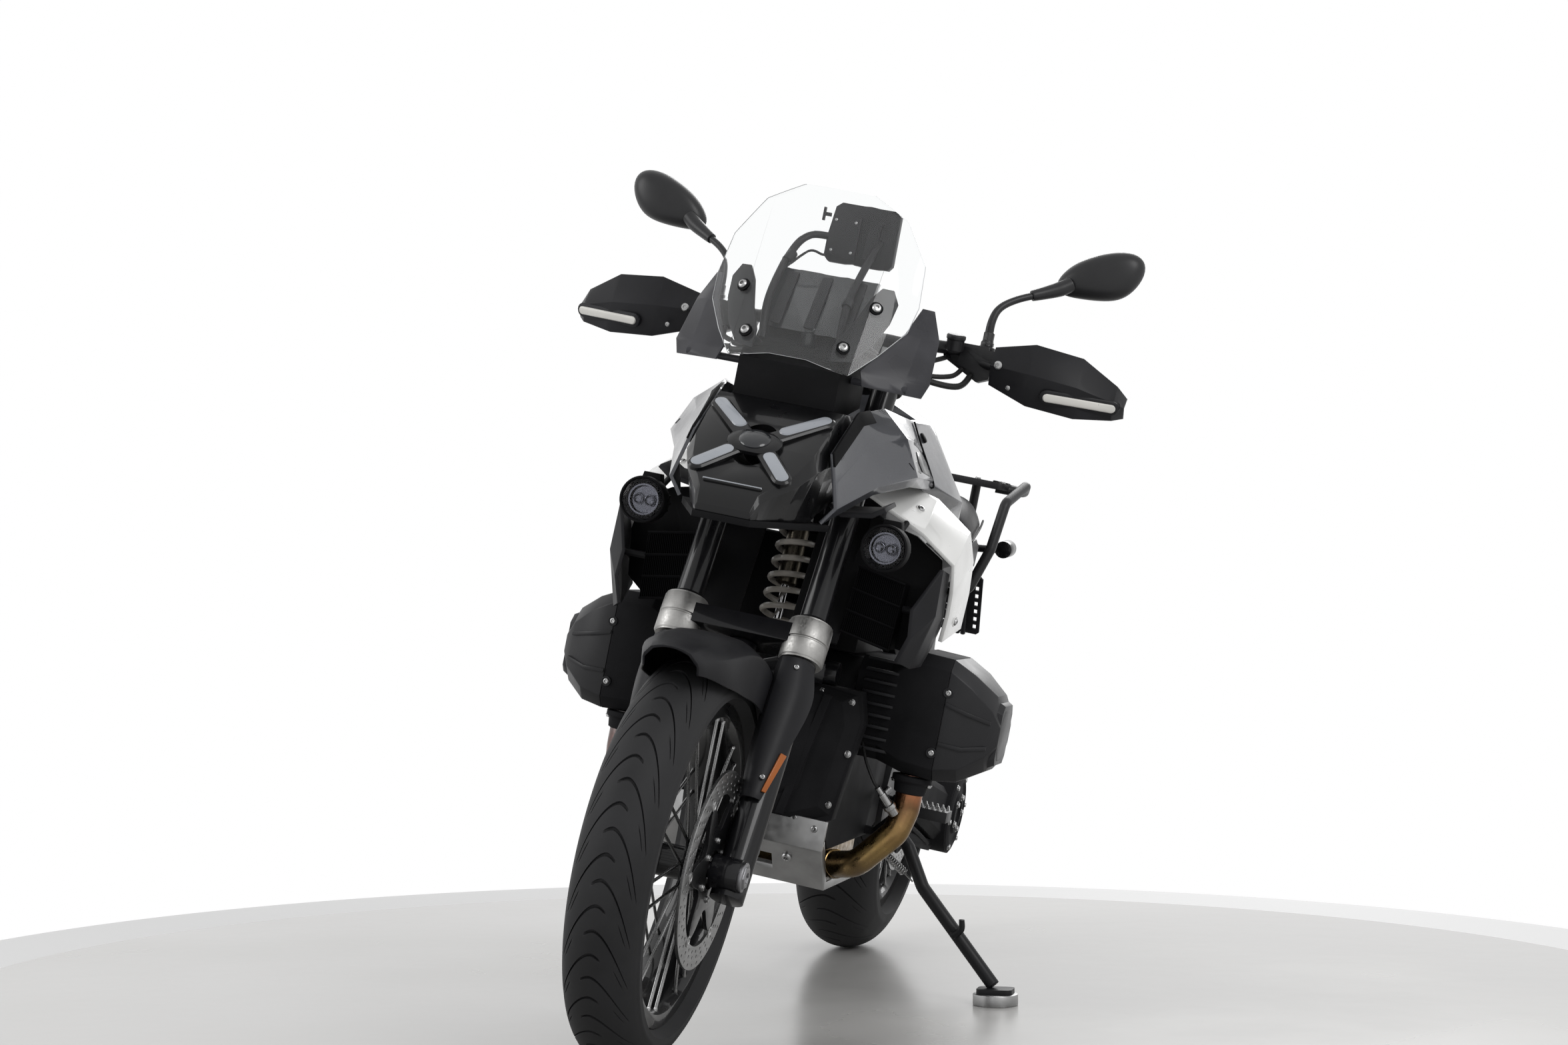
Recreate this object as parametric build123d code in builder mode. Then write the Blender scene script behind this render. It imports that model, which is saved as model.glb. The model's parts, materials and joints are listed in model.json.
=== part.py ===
"""Adventure motorcycle with a flat-twin engine, parked on its side stand.

Everything is modelled upright first: X points to the rider's left, Y to the rear, Z up,
with the ground at Z 0 and the origin midway between the axles. One placement, `parked`,
then leans each finished piece to the left, onto the side stand.
"""

import os
from math import asin, cos, degrees, hypot, radians, sin

from build123d import *

# ---------------------------------------------------------------- driving dimensions, mm
wheelbase = 1518.0
rake = radians(26.2)
trail = 112.0
lean = radians(11.5)

seat_gap = 0.3  # left between neighbours that are bolted or pushed together
running_gap = 0.05  # between a shaft and its bearing
swing_gap = 6.0  # between a moving piece and what it passes

front_tyre_radius = 325.0
front_tyre_width = 120.0
front_section_height = 84.0  # from the bead up to the crown
rear_tyre_radius = 318.0
rear_tyre_width = 170.0
rear_section_height = 102.0
front_disc_radius = 155.0
rear_disc_radius = 142.0
disc_thickness = 5.0
front_axle_radius = 12.5
rear_shaft_radius = 32.0

fork_half_spread = 105.0
fork_offset = 20.0  # fork tubes ahead of the steering axis
steer_limit = radians(38.0)  # to each side of straight ahead
fork_tube_radius = 22.5
fork_leg_radius = 27.0
collar_radius = 35.0
stem_radius = 14.0
ball_pin_radius = 9.0

cylinder_reach = 390.0
engine_half_width = 135.0
engine_front = -300.0
stand_pivot = (185.0, 70.0, 350.0)
puck_height = 20.0
puck_radius = 40.0
bar_radius = 11.0

# ---------------------------------------------------------------- places worked out once
front_axle_y = -759.0  # from the frame's own origin
rear_axle_y = front_axle_y + wheelbase
front_bead_radius = front_tyre_radius - front_section_height
rear_bead_radius = rear_tyre_radius - rear_section_height
front_crown = front_tyre_width / 2
rear_crown = rear_tyre_width / 2
disc_inner_x = 70.0
hub_end_x = disc_inner_x - seat_gap

# Steering frame: local X to the left, local Y square to the steering axis and rearwards,
# local Z up the axis from where it meets the ground.
steering = Plane(
    origin=(0, front_axle_y - trail, 0),
    x_dir=(1, 0, 0),
    z_dir=(0, sin(rake), cos(rake)),
)
axle_along = trail * sin(rake) + front_tyre_radius * cos(rake)

# The lean turns the bike about the line where its centre plane meets the ground. A leaning
# tyre stands on its round crown, so each axle needs a small lift, and the two lifts differ.
front_lift = front_crown * (1 - cos(lean))
rear_lift = rear_crown * (1 - cos(lean))
pitch = degrees(asin((rear_lift - front_lift) / wheelbase))
parked = Location((0, 0, (front_lift + rear_lift) / 2), (pitch, 0, 0)) * Location(
    (0, 0, 0), (0, degrees(lean), 0)
)
floor = Plane(parked.inverse())

# The side stand swings about a slanted pin: down and out when parked, back when folded.
stand_foot = Vector(461, 16, 113)
stand_down = stand_foot - Vector(*stand_pivot)
stand_folded = Vector(0.14, 0.98, -0.12)
stand_hinge = Plane(origin=stand_pivot, z_dir=stand_down.cross(stand_folded))
stand_eye_half = 12.0
stand_pin_radius = 8.0


# ---------------------------------------------------------------- ways of making shapes
def side_plane(x):
    """Plane whose local X runs rearwards and local Y up, facing the rider's left."""
    return Plane(origin=(x, 0, 0), x_dir=(0, 1, 0), z_dir=(1, 0, 0))


def cross_plane(y):
    """Plane across the bike whose local X runs left and local Y up, facing forwards."""
    return Plane(origin=(0, y, 0), x_dir=(1, 0, 0), z_dir=(0, -1, 0))


def face(plane, outline, rounding=0.0):
    """A flat face with the given corner points, sharp or rounded."""
    with BuildSketch(plane) as drawn:
        with BuildLine():
            if rounding:
                FilletPolyline(*outline, radius=rounding, close=True)
            else:
                Polyline(*outline, close=True)
        make_face()
    return drawn.sketch


def slab(plane, outline, thickness, rounding=0.0, mode=Mode.ADD):
    """A plate of the outline, as thick as told, standing on the plane."""
    extrude(face(plane, outline, rounding), amount=thickness, mode=mode)


def skin(outlines, mode=Mode.ADD):
    """A solid with straight-ruled sides through outlines that have as many corners each."""
    loft([face(plane, outline) for plane, outline in outlines], ruled=True, mode=mode)


def strip(points, wall):
    """A strip along an open line of points, its wall on the right hand of the line."""
    inner = []
    for i, (across, height) in enumerate(points):
        before = points[max(i - 1, 0)]
        after = points[min(i + 1, len(points) - 1)]
        run = hypot(after[0] - before[0], after[1] - before[1])
        step_across = wall * (after[1] - before[1]) / run
        step_height = wall * (before[0] - after[0]) / run
        inner.append((across + step_across, height + step_height))
    return points + inner[::-1]


def bar(start, end, radius, mode=Mode.ADD):
    """A round bar between two points."""
    start = Vector(*start)
    run = Vector(*end) - start
    with BuildSketch(Plane(origin=start, z_dir=run)) as section:
        Circle(radius)
    extrude(section.sketch, amount=run.length, mode=mode)


def tube(points, radius, bend):
    """A round tube along straight runs joined by tangent arcs."""
    with BuildLine() as route:
        FilletPolyline(*points, radius=bend)
    with BuildSketch(Plane(origin=route.line @ 0, z_dir=route.line % 0)) as section:
        Circle(radius)
    sweep(section.sketch, path=route.line)


def turned(axle_y, axle_z, outline, mode=Mode.ADD):
    """A ring turned about a wheel's axle from points (across, radius)."""
    section = face(wheel_section(axle_y, axle_z), outline)
    revolve(section, axis=Axis((0, axle_y, axle_z), (1, 0, 0)), mode=mode)


def wheel_section(axle_y, axle_z):
    """Plane through a wheel's axle whose local X runs across and local Y outwards."""
    return Plane(origin=(0, axle_y, axle_z), x_dir=(1, 0, 0), z_dir=(0, -1, 0))


def radial_plane(axle_y, axle_z, angle):
    """Plane through a wheel's axle whose local Y points outwards at the angle."""
    turn = radians(angle)
    return Plane(origin=(0, axle_y, axle_z), x_dir=(1, 0, 0), z_dir=(0, -sin(turn), cos(turn)))


def wheel_point(axle_y, axle_z, x, radius, angle):
    """A point at a radius and angle about a wheel's axle."""
    turn = radians(angle)
    return (x, axle_y + radius * cos(turn), axle_z + radius * sin(turn))


def add_tyre(axle_y, axle_z, radius, crown, bead_radius, bead_half):
    """A tyre as one closed ring: round crown, sidewalls and beads."""
    bead_height = 13.0
    centre = radius - crown
    with BuildSketch(wheel_section(axle_y, axle_z)) as section:
        with BuildLine():
            ThreePointArc((-crown, centre), (0, radius), (crown, centre))
            Polyline(
                (crown, centre),
                (bead_half, bead_radius + bead_height),
                (bead_half, bead_radius),
                (-bead_half, bead_radius),
                (-bead_half, bead_radius + bead_height),
                (-crown, centre),
            )
        make_face()
    revolve(section.sketch, axis=Axis((0, axle_y, axle_z), (1, 0, 0)))


def add_rim(axle_y, axle_z, bead_radius, bead_half):
    """The rim's channel with its two flanges."""
    seat = bead_radius - seat_gap
    inner = bead_half + seat_gap
    outer = inner + 4.0
    flange = bead_radius + 12.0
    turned(
        axle_y,
        axle_z,
        [
            (-outer, flange),
            (-inner, flange),
            (-inner, seat),
            (inner, seat),
            (inner, flange),
            (outer, flange),
            (outer, seat - 9),
            (outer - 20, seat - 19),
            (-outer + 20, seat - 19),
            (-outer, seat - 9),
        ],
    )


def add_spokes(axle_y, axle_z, rim_radius, rim_x, hub_radius, hub_x, pairs):
    """Crossed spokes from both edges of the rim to the two hub flanges."""
    spoke_radius = 2.5
    crossing = 26.0
    for side in (-1, 1):
        for i in range(pairs):
            angle = 360.0 / pairs * (i + 0.25 * side)
            for lead in (-crossing, crossing):
                rim_end = wheel_point(axle_y, axle_z, side * rim_x, rim_radius, angle + lead / 5)
                hub_end = wheel_point(axle_y, axle_z, side * hub_x, hub_radius, angle + lead)
                bar(hub_end, rim_end, spoke_radius)


def add_disc(axle_y, axle_z, x, radius, band, arms):
    """A brake disc: outer band, arms and the ring that bolts to the hub."""
    centre = Plane(origin=(x, axle_y, axle_z), x_dir=(0, 1, 0), z_dir=(1, 0, 0))
    with BuildSketch(centre) as plan:
        Circle(radius)
        Circle(radius - band, mode=Mode.SUBTRACT)
        Circle(58)
        with PolarLocations((radius - band + 58) / 2, arms):
            Rectangle(radius - band - 58 + 12, 16)
        Circle(30, mode=Mode.SUBTRACT)
    extrude(plan.sketch, amount=disc_thickness)


# ---------------------------------------------------------------- front wheel
def front_wheel_pieces():
    """Tyre, spoked rim with its hub, and the pair of brake discs."""
    y, z = front_axle_y, front_tyre_radius
    bead_half = 39.0
    with BuildPart() as front_tyre:
        add_tyre(y, z, front_tyre_radius, front_crown, front_bead_radius, bead_half)
    with BuildPart() as front_rim:
        add_rim(y, z, front_bead_radius, bead_half)
        turned(
            y,
            z,
            [
                (-hub_end_x, 0),
                (-hub_end_x, 54),
                (-hub_end_x + 6, 54),
                (-hub_end_x + 12, 30),
                (-46, 30),
                (-44, 46),
                (-36, 46),
                (-30, 26),
                (30, 26),
                (36, 46),
                (44, 46),
                (46, 30),
                (hub_end_x - 12, 30),
                (hub_end_x - 6, 54),
                (hub_end_x, 54),
                (hub_end_x, 0),
            ],
        )
        add_spokes(y, z, front_bead_radius - 12, 34.0, 42.0, 40.0, 10)
        bar((-100, y, z), (100, y, z), front_axle_radius + running_gap, mode=Mode.SUBTRACT)
    with BuildPart() as front_discs:
        add_disc(y, z, disc_inner_x, front_disc_radius, 36.0, 6)
        mirror(about=Plane.YZ)
    return {"front_tyre": front_tyre, "front_rim": front_rim, "front_discs": front_discs}


# ---------------------------------------------------------------- rear wheel
rear_disc_x = 72.0


def rear_wheel_pieces():
    """Tyre, spoked rim with the hollow drive shaft on its left, and the brake disc."""
    y, z = rear_axle_y, rear_tyre_radius
    bead_half = 57.0
    shaft_end = 150.0
    shaft_bore = 25.0
    with BuildPart() as rear_tyre:
        add_tyre(y, z, rear_tyre_radius, rear_crown, rear_bead_radius, bead_half)
    with BuildPart() as rear_rim:
        add_rim(y, z, rear_bead_radius, bead_half)
        turned(
            y,
            z,
            [
                (-62, 0),
                (-62, 46),
                (-52, 60),
                (-44, 60),
                (-36, 42),
                (36, 42),
                (44, 60),
                (56, 60),
                (rear_disc_x - seat_gap, 56),
                (rear_disc_x - seat_gap, rear_shaft_radius - 4),
                (rear_disc_x + disc_thickness + 4, rear_shaft_radius - 4),
                (rear_disc_x + disc_thickness + 6, rear_shaft_radius),
                (shaft_end, rear_shaft_radius),
                (shaft_end, 0),
            ],
        )
        add_spokes(y, z, rear_bead_radius - 12, 50.0, 56.0, 48.0, 10)
        bar((-100, y, z), (shaft_end + 10, y, z), shaft_bore, mode=Mode.SUBTRACT)
    with BuildPart() as rear_disc:
        add_disc(y, z, rear_disc_x, rear_disc_radius, 34.0, 6)
    return {"rear_tyre": rear_tyre, "rear_rim": rear_rim, "rear_disc": rear_disc}


# ---------------------------------------------------------------- fork and what it carries
leg_bottom = axle_along - 34.0
collar_low = axle_along + 372.9  # clear of the tyre's crown
collar_high = collar_low + 68.0
bridge_low = collar_low + 22.0
bridge_high = bridge_low + 32.0
yoke_low = 1240.0
yoke_high = 1266.0
head_low = 1160.0
head_high = yoke_low - 7.0
arm_tip_high = bridge_low - 2.0
arm_tip_low = arm_tip_high - 28.0
arm_tip = steering.offset(arm_tip_low).origin
yoke_half = fork_half_spread + 32.0
yoke_rear = 28.0  # behind the line through both tubes
tube_ahead = (
    fork_half_spread * sin(steer_limit)
    + fork_offset * cos(steer_limit)
    + fork_tube_radius
    + swing_gap
)
tube_behind = (
    fork_half_spread * sin(steer_limit)
    - fork_offset * cos(steer_limit)
    + fork_tube_radius
    + swing_gap
)
yoke_behind = yoke_half * sin(steer_limit) + (yoke_rear - fork_offset) * cos(steer_limit) + swing_gap
caliper_angle = 16.0
caliper_outer_x = 97.0


def fork_pieces():
    """Slider legs with their collars and bridge, and the upper tubes with the top yoke."""
    leg_y = -fork_offset
    with BuildPart() as fork_legs:
        for side in (-1, 1):
            with BuildSketch(steering.offset(leg_bottom)):
                with Locations((side * fork_half_spread, leg_y)):
                    Circle(fork_leg_radius)
            extrude(amount=collar_low + 5 - leg_bottom)
            with BuildSketch(steering.offset(collar_low)):
                with Locations((side * fork_half_spread, leg_y)):
                    Circle(collar_radius)
            extrude(amount=collar_high - collar_low)
            lug_inner = disc_inner_x + disc_thickness + 2.0
            bar(
                (side * lug_inner, front_axle_y, front_tyre_radius),
                (side * 122, front_axle_y, front_tyre_radius),
                26,
            )
            lug_y = front_axle_y + front_disc_radius * 0.86 * cos(radians(caliper_angle))
            lug_z = front_tyre_radius + front_disc_radius * 0.86 * sin(radians(caliper_angle))
            lug_start = caliper_outer_x + seat_gap
            slab(
                side_plane(side * lug_start if side > 0 else -lug_start - 12),
                [
                    (front_axle_y + 66, front_tyre_radius + 50),
                    (lug_y - 6, lug_z - 34),
                    (lug_y + 22, lug_z - 16),
                    (lug_y + 14, lug_z + 30),
                    (front_axle_y + 104, front_tyre_radius + 150),
                    (front_axle_y + 84, front_tyre_radius + 130),
                ],
                12,
            )
        with BuildSketch(steering.offset(bridge_low)):
            with BuildLine():
                FilletPolyline(
                    (-fork_half_spread, leg_y - 28),
                    (fork_half_spread, leg_y - 28),
                    (fork_half_spread, leg_y + 22),
                    (40, leg_y + 46),
                    (-40, leg_y + 46),
                    (-fork_half_spread, leg_y + 22),
                    radius=8,
                    close=True,
                )
            make_face()
        extrude(amount=bridge_high - bridge_low)
        with BuildSketch(steering.offset(arm_tip_low - 4)):
            Circle(ball_pin_radius)
        extrude(amount=bridge_low + 10 - arm_tip_low)
        for side in (-1, 1):
            with BuildSketch(steering.offset(collar_low + 6)):
                with Locations((side * fork_half_spread, leg_y)):
                    Circle(fork_tube_radius + 0.2)
            extrude(amount=collar_high - collar_low, mode=Mode.SUBTRACT)
        bar(
            (-130, front_axle_y, front_tyre_radius),
            (130, front_axle_y, front_tyre_radius),
            front_axle_radius + 0.2,
            mode=Mode.SUBTRACT,
        )
        bar(
            (122, front_axle_y, front_tyre_radius),
            (140, front_axle_y, front_tyre_radius),
            19,
            mode=Mode.SUBTRACT,
        )
    with BuildPart() as fork_tubes:
        for side in (-1, 1):
            with BuildSketch(steering.offset(collar_low + 8)):
                with Locations((side * fork_half_spread, leg_y)):
                    Circle(fork_tube_radius)
            extrude(amount=yoke_high + 10 - collar_low - 8)
        with BuildSketch(steering.offset(yoke_low)):
            with BuildLine():
                FilletPolyline(
                    (-yoke_half, leg_y - 30),
                    (-60, leg_y - 22),
                    (60, leg_y - 22),
                    (yoke_half, leg_y - 30),
                    (yoke_half, leg_y + yoke_rear),
                    (60, leg_y + 62),
                    (-60, leg_y + 62),
                    (-yoke_half, leg_y + yoke_rear),
                    radius=10,
                    close=True,
                )
            make_face()
        extrude(amount=yoke_high - yoke_low)
        with BuildSketch(steering.offset(head_low + 4)):
            Circle(stem_radius)
        extrude(amount=yoke_low + 5 - head_low - 4)
    with BuildPart() as front_axle:
        bar(
            (-124, front_axle_y, front_tyre_radius),
            (126, front_axle_y, front_tyre_radius),
            front_axle_radius,
        )
        bar(
            (122 + seat_gap, front_axle_y, front_tyre_radius),
            (128, front_axle_y, front_tyre_radius),
            18,
        )
        bar(
            (-124, front_axle_y, front_tyre_radius),
            (130, front_axle_y, front_tyre_radius),
            8.5,
            mode=Mode.SUBTRACT,
        )
    slot_low = disc_inner_x - 2.0
    slot_high = disc_inner_x + disc_thickness + 2.0
    with BuildPart() as front_calipers:
        centre = wheel_point(
            front_axle_y, front_tyre_radius, 0, front_disc_radius * 0.86, caliper_angle
        )
        block = Plane(
            origin=(56, centre[1], centre[2]),
            x_dir=(0, cos(radians(caliper_angle)), sin(radians(caliper_angle))),
            z_dir=(1, 0, 0),
        )
        slab(block, [(-20, -40), (24, -34), (30, 0), (24, 34), (-20, 40)], caliper_outer_x - 56)
        bar(
            (slot_low, front_axle_y, front_tyre_radius),
            (slot_high, front_axle_y, front_tyre_radius),
            front_disc_radius + 3,
            mode=Mode.SUBTRACT,
        )
        mirror(about=Plane.YZ)
    return {
        "fork_legs": fork_legs,
        "fork_tubes": fork_tubes,
        "front_axle": front_axle,
        "front_calipers": front_calipers,
    }


def fender_piece():
    """Front fender: an arched shell over the tyre with side skirts that meet the legs."""
    y, z = front_axle_y, front_tyre_radius
    with BuildPart() as front_fender:
        # columns: angle forwards from the top, half width at the crown, at the skirt,
        # crown and skirt beyond the tyre's radius
        stations = [
            (-52, 44, 74, 23, -50),
            (-30, 46, 77.7, 25, -60),
            (0, 46, 77.7, 29, -57),
            (18, 42, 70, 41, -25),
            (31, 24, 44, 67, 27),
        ]
        outlines = []
        for angle, crown_half, skirt_half, crown_over, skirt_over in stations:
            crown_r = front_tyre_radius + crown_over
            skirt_r = front_tyre_radius + skirt_over
            plane = radial_plane(y, z, 90 + angle)
            wall = 4.0
            outline = [
                (-skirt_half, skirt_r),
                (-skirt_half, crown_r - 24),
                (-crown_half, crown_r),
                (crown_half, crown_r),
                (skirt_half, crown_r - 24),
                (skirt_half, skirt_r),
                (skirt_half - wall, skirt_r),
                (skirt_half - wall, crown_r - 24 - wall / 2),
                (crown_half - wall / 2, crown_r - wall),
                (-crown_half + wall / 2, crown_r - wall),
                (-skirt_half + wall, crown_r - 24 - wall / 2),
                (-skirt_half + wall, skirt_r),
            ]
            outlines.append((plane, outline))
        skin(outlines)
        for side in (-1, 1):
            outlines = []
            # columns: place along the steering axis, then X and local Y of four edges
            for along, x0, y0, x1, y1, x2, y2, x3, y3 in [
                (706, 76, -46, 88, -62, 115, -60, 134, -36),
                (650, 74, -46, 88, -62, 124, -58, 145, -24),
                (560, 74, -46, 88, -62, 118, -58, 134, -38),
                (465, 82, -46, 90, -58, 106, -60, 118, -52),
            ]:
                half = strip([(x3, y3), (x2, y2), (x1, y1), (x0, y0)], 3.0)
                outline = [(side * x, y) for x, y in half]
                outlines.append((steering.offset(along), outline))
            skin(outlines)
    return {"front_fender": front_fender}


switch_top = 1208.0
bar_centre = (0.0, -262.0, 1196.0)
grip_inner = (255.0, -212.0, 1186.0)
grip_outer = (402.0, -168.0, 1166.0)


def handlebar_pieces():
    """Handlebar with clamps, grips and levers, hand guards, and the mirrors."""
    grip_radius = 16.0
    with BuildPart() as handlebar:
        tube(
            [
                (-300, -199, 1180),
                (-190, -236, 1202),
                (-90, bar_centre[1], bar_centre[2]),
                (90, bar_centre[1], bar_centre[2]),
                (190, -236, 1202),
                (300, -199, 1180),
            ],
            bar_radius,
            30,
        )
        for side in (-1, 1):
            with BuildSketch(steering.offset(yoke_high + seat_gap)):
                with Locations((side * 45, 44)):
                    Rectangle(34, 38)
            extrude(amount=88)
        for side in (-1, 1):
            inner = (side * grip_inner[0], grip_inner[1], grip_inner[2])
            outer = (side * grip_outer[0], grip_outer[1], grip_outer[2])
            bar(inner, outer, grip_radius)
            slab(
                cross_plane(-196),
                [
                    (side * 196, 1176),
                    (side * 254, 1160),
                    (side * 258, switch_top),
                    (side * 200, switch_top),
                ],
                54,
            )
            tube(
                [
                    (side * 225, -240, 1186),
                    (side * 262, -254, 1180),
                    (side * 400, -214, 1160),
                ],
                6.5,
                14,
            )
    with BuildPart() as hand_guards:
        # columns: half breadth out from the middle, front Y, low Z, high Z
        stations = [
            (262, -300, 1150, 1214),
            (330, -306, 1126, 1230),
            (410, -292, 1120, 1222),
            (470, -262, 1130, 1188),
            (486, -236, 1138, 1172),
        ]
        outlines = []
        for out, front, low, high in stations:
            middle = (low + high) / 2
            outline = [
                (front + 16, low),
                (front, middle),
                (front + 20, high),
                (front + 26, high),
                (front + 7, middle),
                (front + 22, low),
            ]
            outlines.append((side_plane(out), outline))
        skin(outlines)
        grip_end = Vector(*grip_outer)
        along = (grip_end - Vector(*grip_inner)).normalized()
        bar(grip_end + along * seat_gap, grip_end + along * 34, 12)
        bar(grip_end + along * 26, (474, -248, 1155), 8)
        mirror(about=Plane.YZ)
    with BuildPart() as mirrors:
        tube(
            [
                (236, -222, 1226),
                (240, -222, 1268),
                (262, -196, 1306),
                (318, -166, 1336),
            ],
            6,
            12,
        )
        bar((236, -222, switch_top + seat_gap), (236, -222, 1242), 11)
        slab(
            cross_plane(-128),
            [
                (316, 1350),
                (352, 1392),
                (400, 1414),
                (440, 1418),
                (462, 1396),
                (452, 1356),
                (420, 1332),
                (352, 1326),
                (318, 1330),
            ],
            34,
        )
        mirror(about=Plane.YZ)
    return {"handlebar": handlebar, "hand_guards": hand_guards, "mirrors": mirrors}


# ---------------------------------------------------------------- engine
engine_low = 322.0
engine_rear = 150.0


def engine_pieces():
    """Crankcase with its front cover, the two cylinders and their covers."""
    with BuildPart() as engine_block:
        slab(
            side_plane(-engine_half_width),
            [
                (engine_front, 380),
                (engine_front, 590),
                (-200, 655),
                (60, 655),
                (engine_rear, 600),
                (engine_rear, 340),
                (90, engine_low),
                (-230, engine_low),
            ],
            2 * engine_half_width,
        )
        slab(
            cross_plane(engine_front + 4),
            [
                (-163, 605.7),
                (163, 605.7),
                (176, 557),
                (153, 385),
                (92, 361),
                (-92, 361),
                (-153, 385),
                (-176, 557),
            ],
            34,
        )
        lug_top = -stand_eye_half - 1.0
        lug_middle = stand_hinge.from_local_coords(Vector(0, 0, lug_top - 10))
        bar((engine_half_width - 5, lug_middle.Y, lug_middle.Z), lug_middle, 8)
        with BuildSketch(stand_hinge.offset(lug_top - 18)):
            Circle(20)
        extrude(amount=18)
        with BuildSketch(stand_hinge.offset(lug_top - 6)):
            Circle(stand_pin_radius)
        extrude(amount=6 - lug_top + stand_eye_half)
    inner = engine_half_width + seat_gap
    cover_x = 296.0
    # columns: distance out, front Y, rear Y, low Z, high Z, corner cut
    barrel = [
        (inner, -262, -112, 492, 664, 26),
        (190, -262, -112, 492, 664, 26),
        (236, -286, -98, 484, 690, 20),
        (cover_x, -290, -96, 480, 688, 20),
    ]
    cover = [
        (cover_x + seat_gap, -290, -96, 480, 688, 20),
        (336, -284, -102, 486, 668, 22),
        (374, -262, -120, 510, 640, 26),
        (cylinder_reach, -244, -138, 532, 616, 28),
    ]
    shapes = {}
    for name, stations in (("cylinders", barrel), ("cylinder_covers", cover)):
        with BuildPart() as piece:
            outlines = []
            for x, front, rear, low, high, cut in stations:
                outline = [
                    (front + cut, low),
                    (rear - cut, low),
                    (rear, low + cut),
                    (rear, high - cut),
                    (rear - cut, high),
                    (front + cut, high),
                    (front, high - cut),
                    (front, low + cut),
                ]
                outlines.append((side_plane(x), outline))
            skin(outlines)
            mirror(about=Plane.YZ)
        shapes[name] = piece
    return {"engine_block": engine_block} | shapes


def exhaust_pieces():
    """Header pipes with the collector under the engine, silencer, and skid plate."""
    pipe_radius = 23.0
    collector_tall = 46.0
    collector_low = engine_low - 8.0 - collector_tall
    collector_middle = collector_low + collector_tall / 2
    pipe_bend = (-186, 372, 352)
    pipe_end = (-196, 440, 388)
    with BuildPart() as exhaust_header:
        for side in (-1, 1):
            tube(
                [
                    (side * 258, -240, 480.6),
                    (side * 258, -240, 420),
                    (side * 250, -254, 380),
                    (side * 196, -262, 314),
                    (side * 122, -200, collector_middle),
                    (side * 90, -110, collector_middle),
                ],
                pipe_radius,
                34,
            )
        slab(
            Plane.XY.offset(collector_low),
            [(-118, -130), (118, -130), (118, 96), (-118, 96)],
            collector_tall,
            20,
        )
        tube(
            [
                (-80, 80, collector_middle),
                (-112, 150, collector_middle),
                (-150, 250, 298),
                pipe_bend,
                pipe_end,
            ],
            pipe_radius,
            30,
        )
    with BuildPart() as silencer:
        # columns: Y, middle X, middle Z, half width, half height
        stations = [
            (452, -198, 398, 32, 36),
            (500, -202, 420, 60, 66),
            (760, -214, 492, 64, 74),
            (860, -220, 516, 52, 60),
        ]
        outlines = []
        for y, x, z, half, tall in stations:
            cut = 0.42
            outline = [
                (x - half * cut, z - tall),
                (x + half * cut, z - tall),
                (x + half, z - tall * cut),
                (x + half, z + tall * cut),
                (x + half * cut, z + tall),
                (x - half * cut, z + tall),
                (x - half, z + tall * cut),
                (x - half, z - tall * cut),
            ]
            outlines.append((cross_plane(y), outline))
        skin(outlines)
        bar((-220, 862, 516), (-222, 830, 508), 26, mode=Mode.SUBTRACT)
        bar((-190, 498, 478), (-124 - 2 * seat_gap, 498, 478), 7)
        run = (Vector(*pipe_end) - Vector(*pipe_bend)).normalized()
        inlet = Vector(*pipe_end)
        bar(inlet - run * 16, inlet + run * 24, pipe_radius + 5)
        bar(inlet - run * 30, inlet + run * 2, pipe_radius + seat_gap, mode=Mode.SUBTRACT)
    with BuildPart() as skid_plate:
        thick = 5.0
        skid_low = collector_low - 6.0 - thick
        profile = [
            (100, skid_low),
            (-262, skid_low),
            (-338, 330),
            (-338, 382),
            (engine_front - 30 - seat_gap, 382),
            (engine_front - 30 - seat_gap, 332),
            (-259, skid_low + thick),
            (100, skid_low + thick),
        ]
        slab(side_plane(-150), profile, 300)
        with BuildSketch(Plane.XY.offset(skid_low - 20)):
            with Locations((0, -298)):
                Rectangle(120, 30)
        extrude(amount=200, mode=Mode.SUBTRACT)
    return {
        "exhaust_header": exhaust_header,
        "silencer": silencer,
        "skid_plate": skid_plate,
    }


# ---------------------------------------------------------------- frame and suspension
radiator_rear = -400.0
outrigger_x = 176.0
outrigger_front_z = 780.0
dash_rear = -470.0
pivot_y = 225.0
pivot_z = 392.0
rail_front = (250.0, 790.0)  # Y and Z of the rear frame's upper edge at its front
rail_rear = (760.0, 876.0)
rail_slope = (rail_rear[1] - rail_front[1]) / (rail_rear[0] - rail_front[0])


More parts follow.
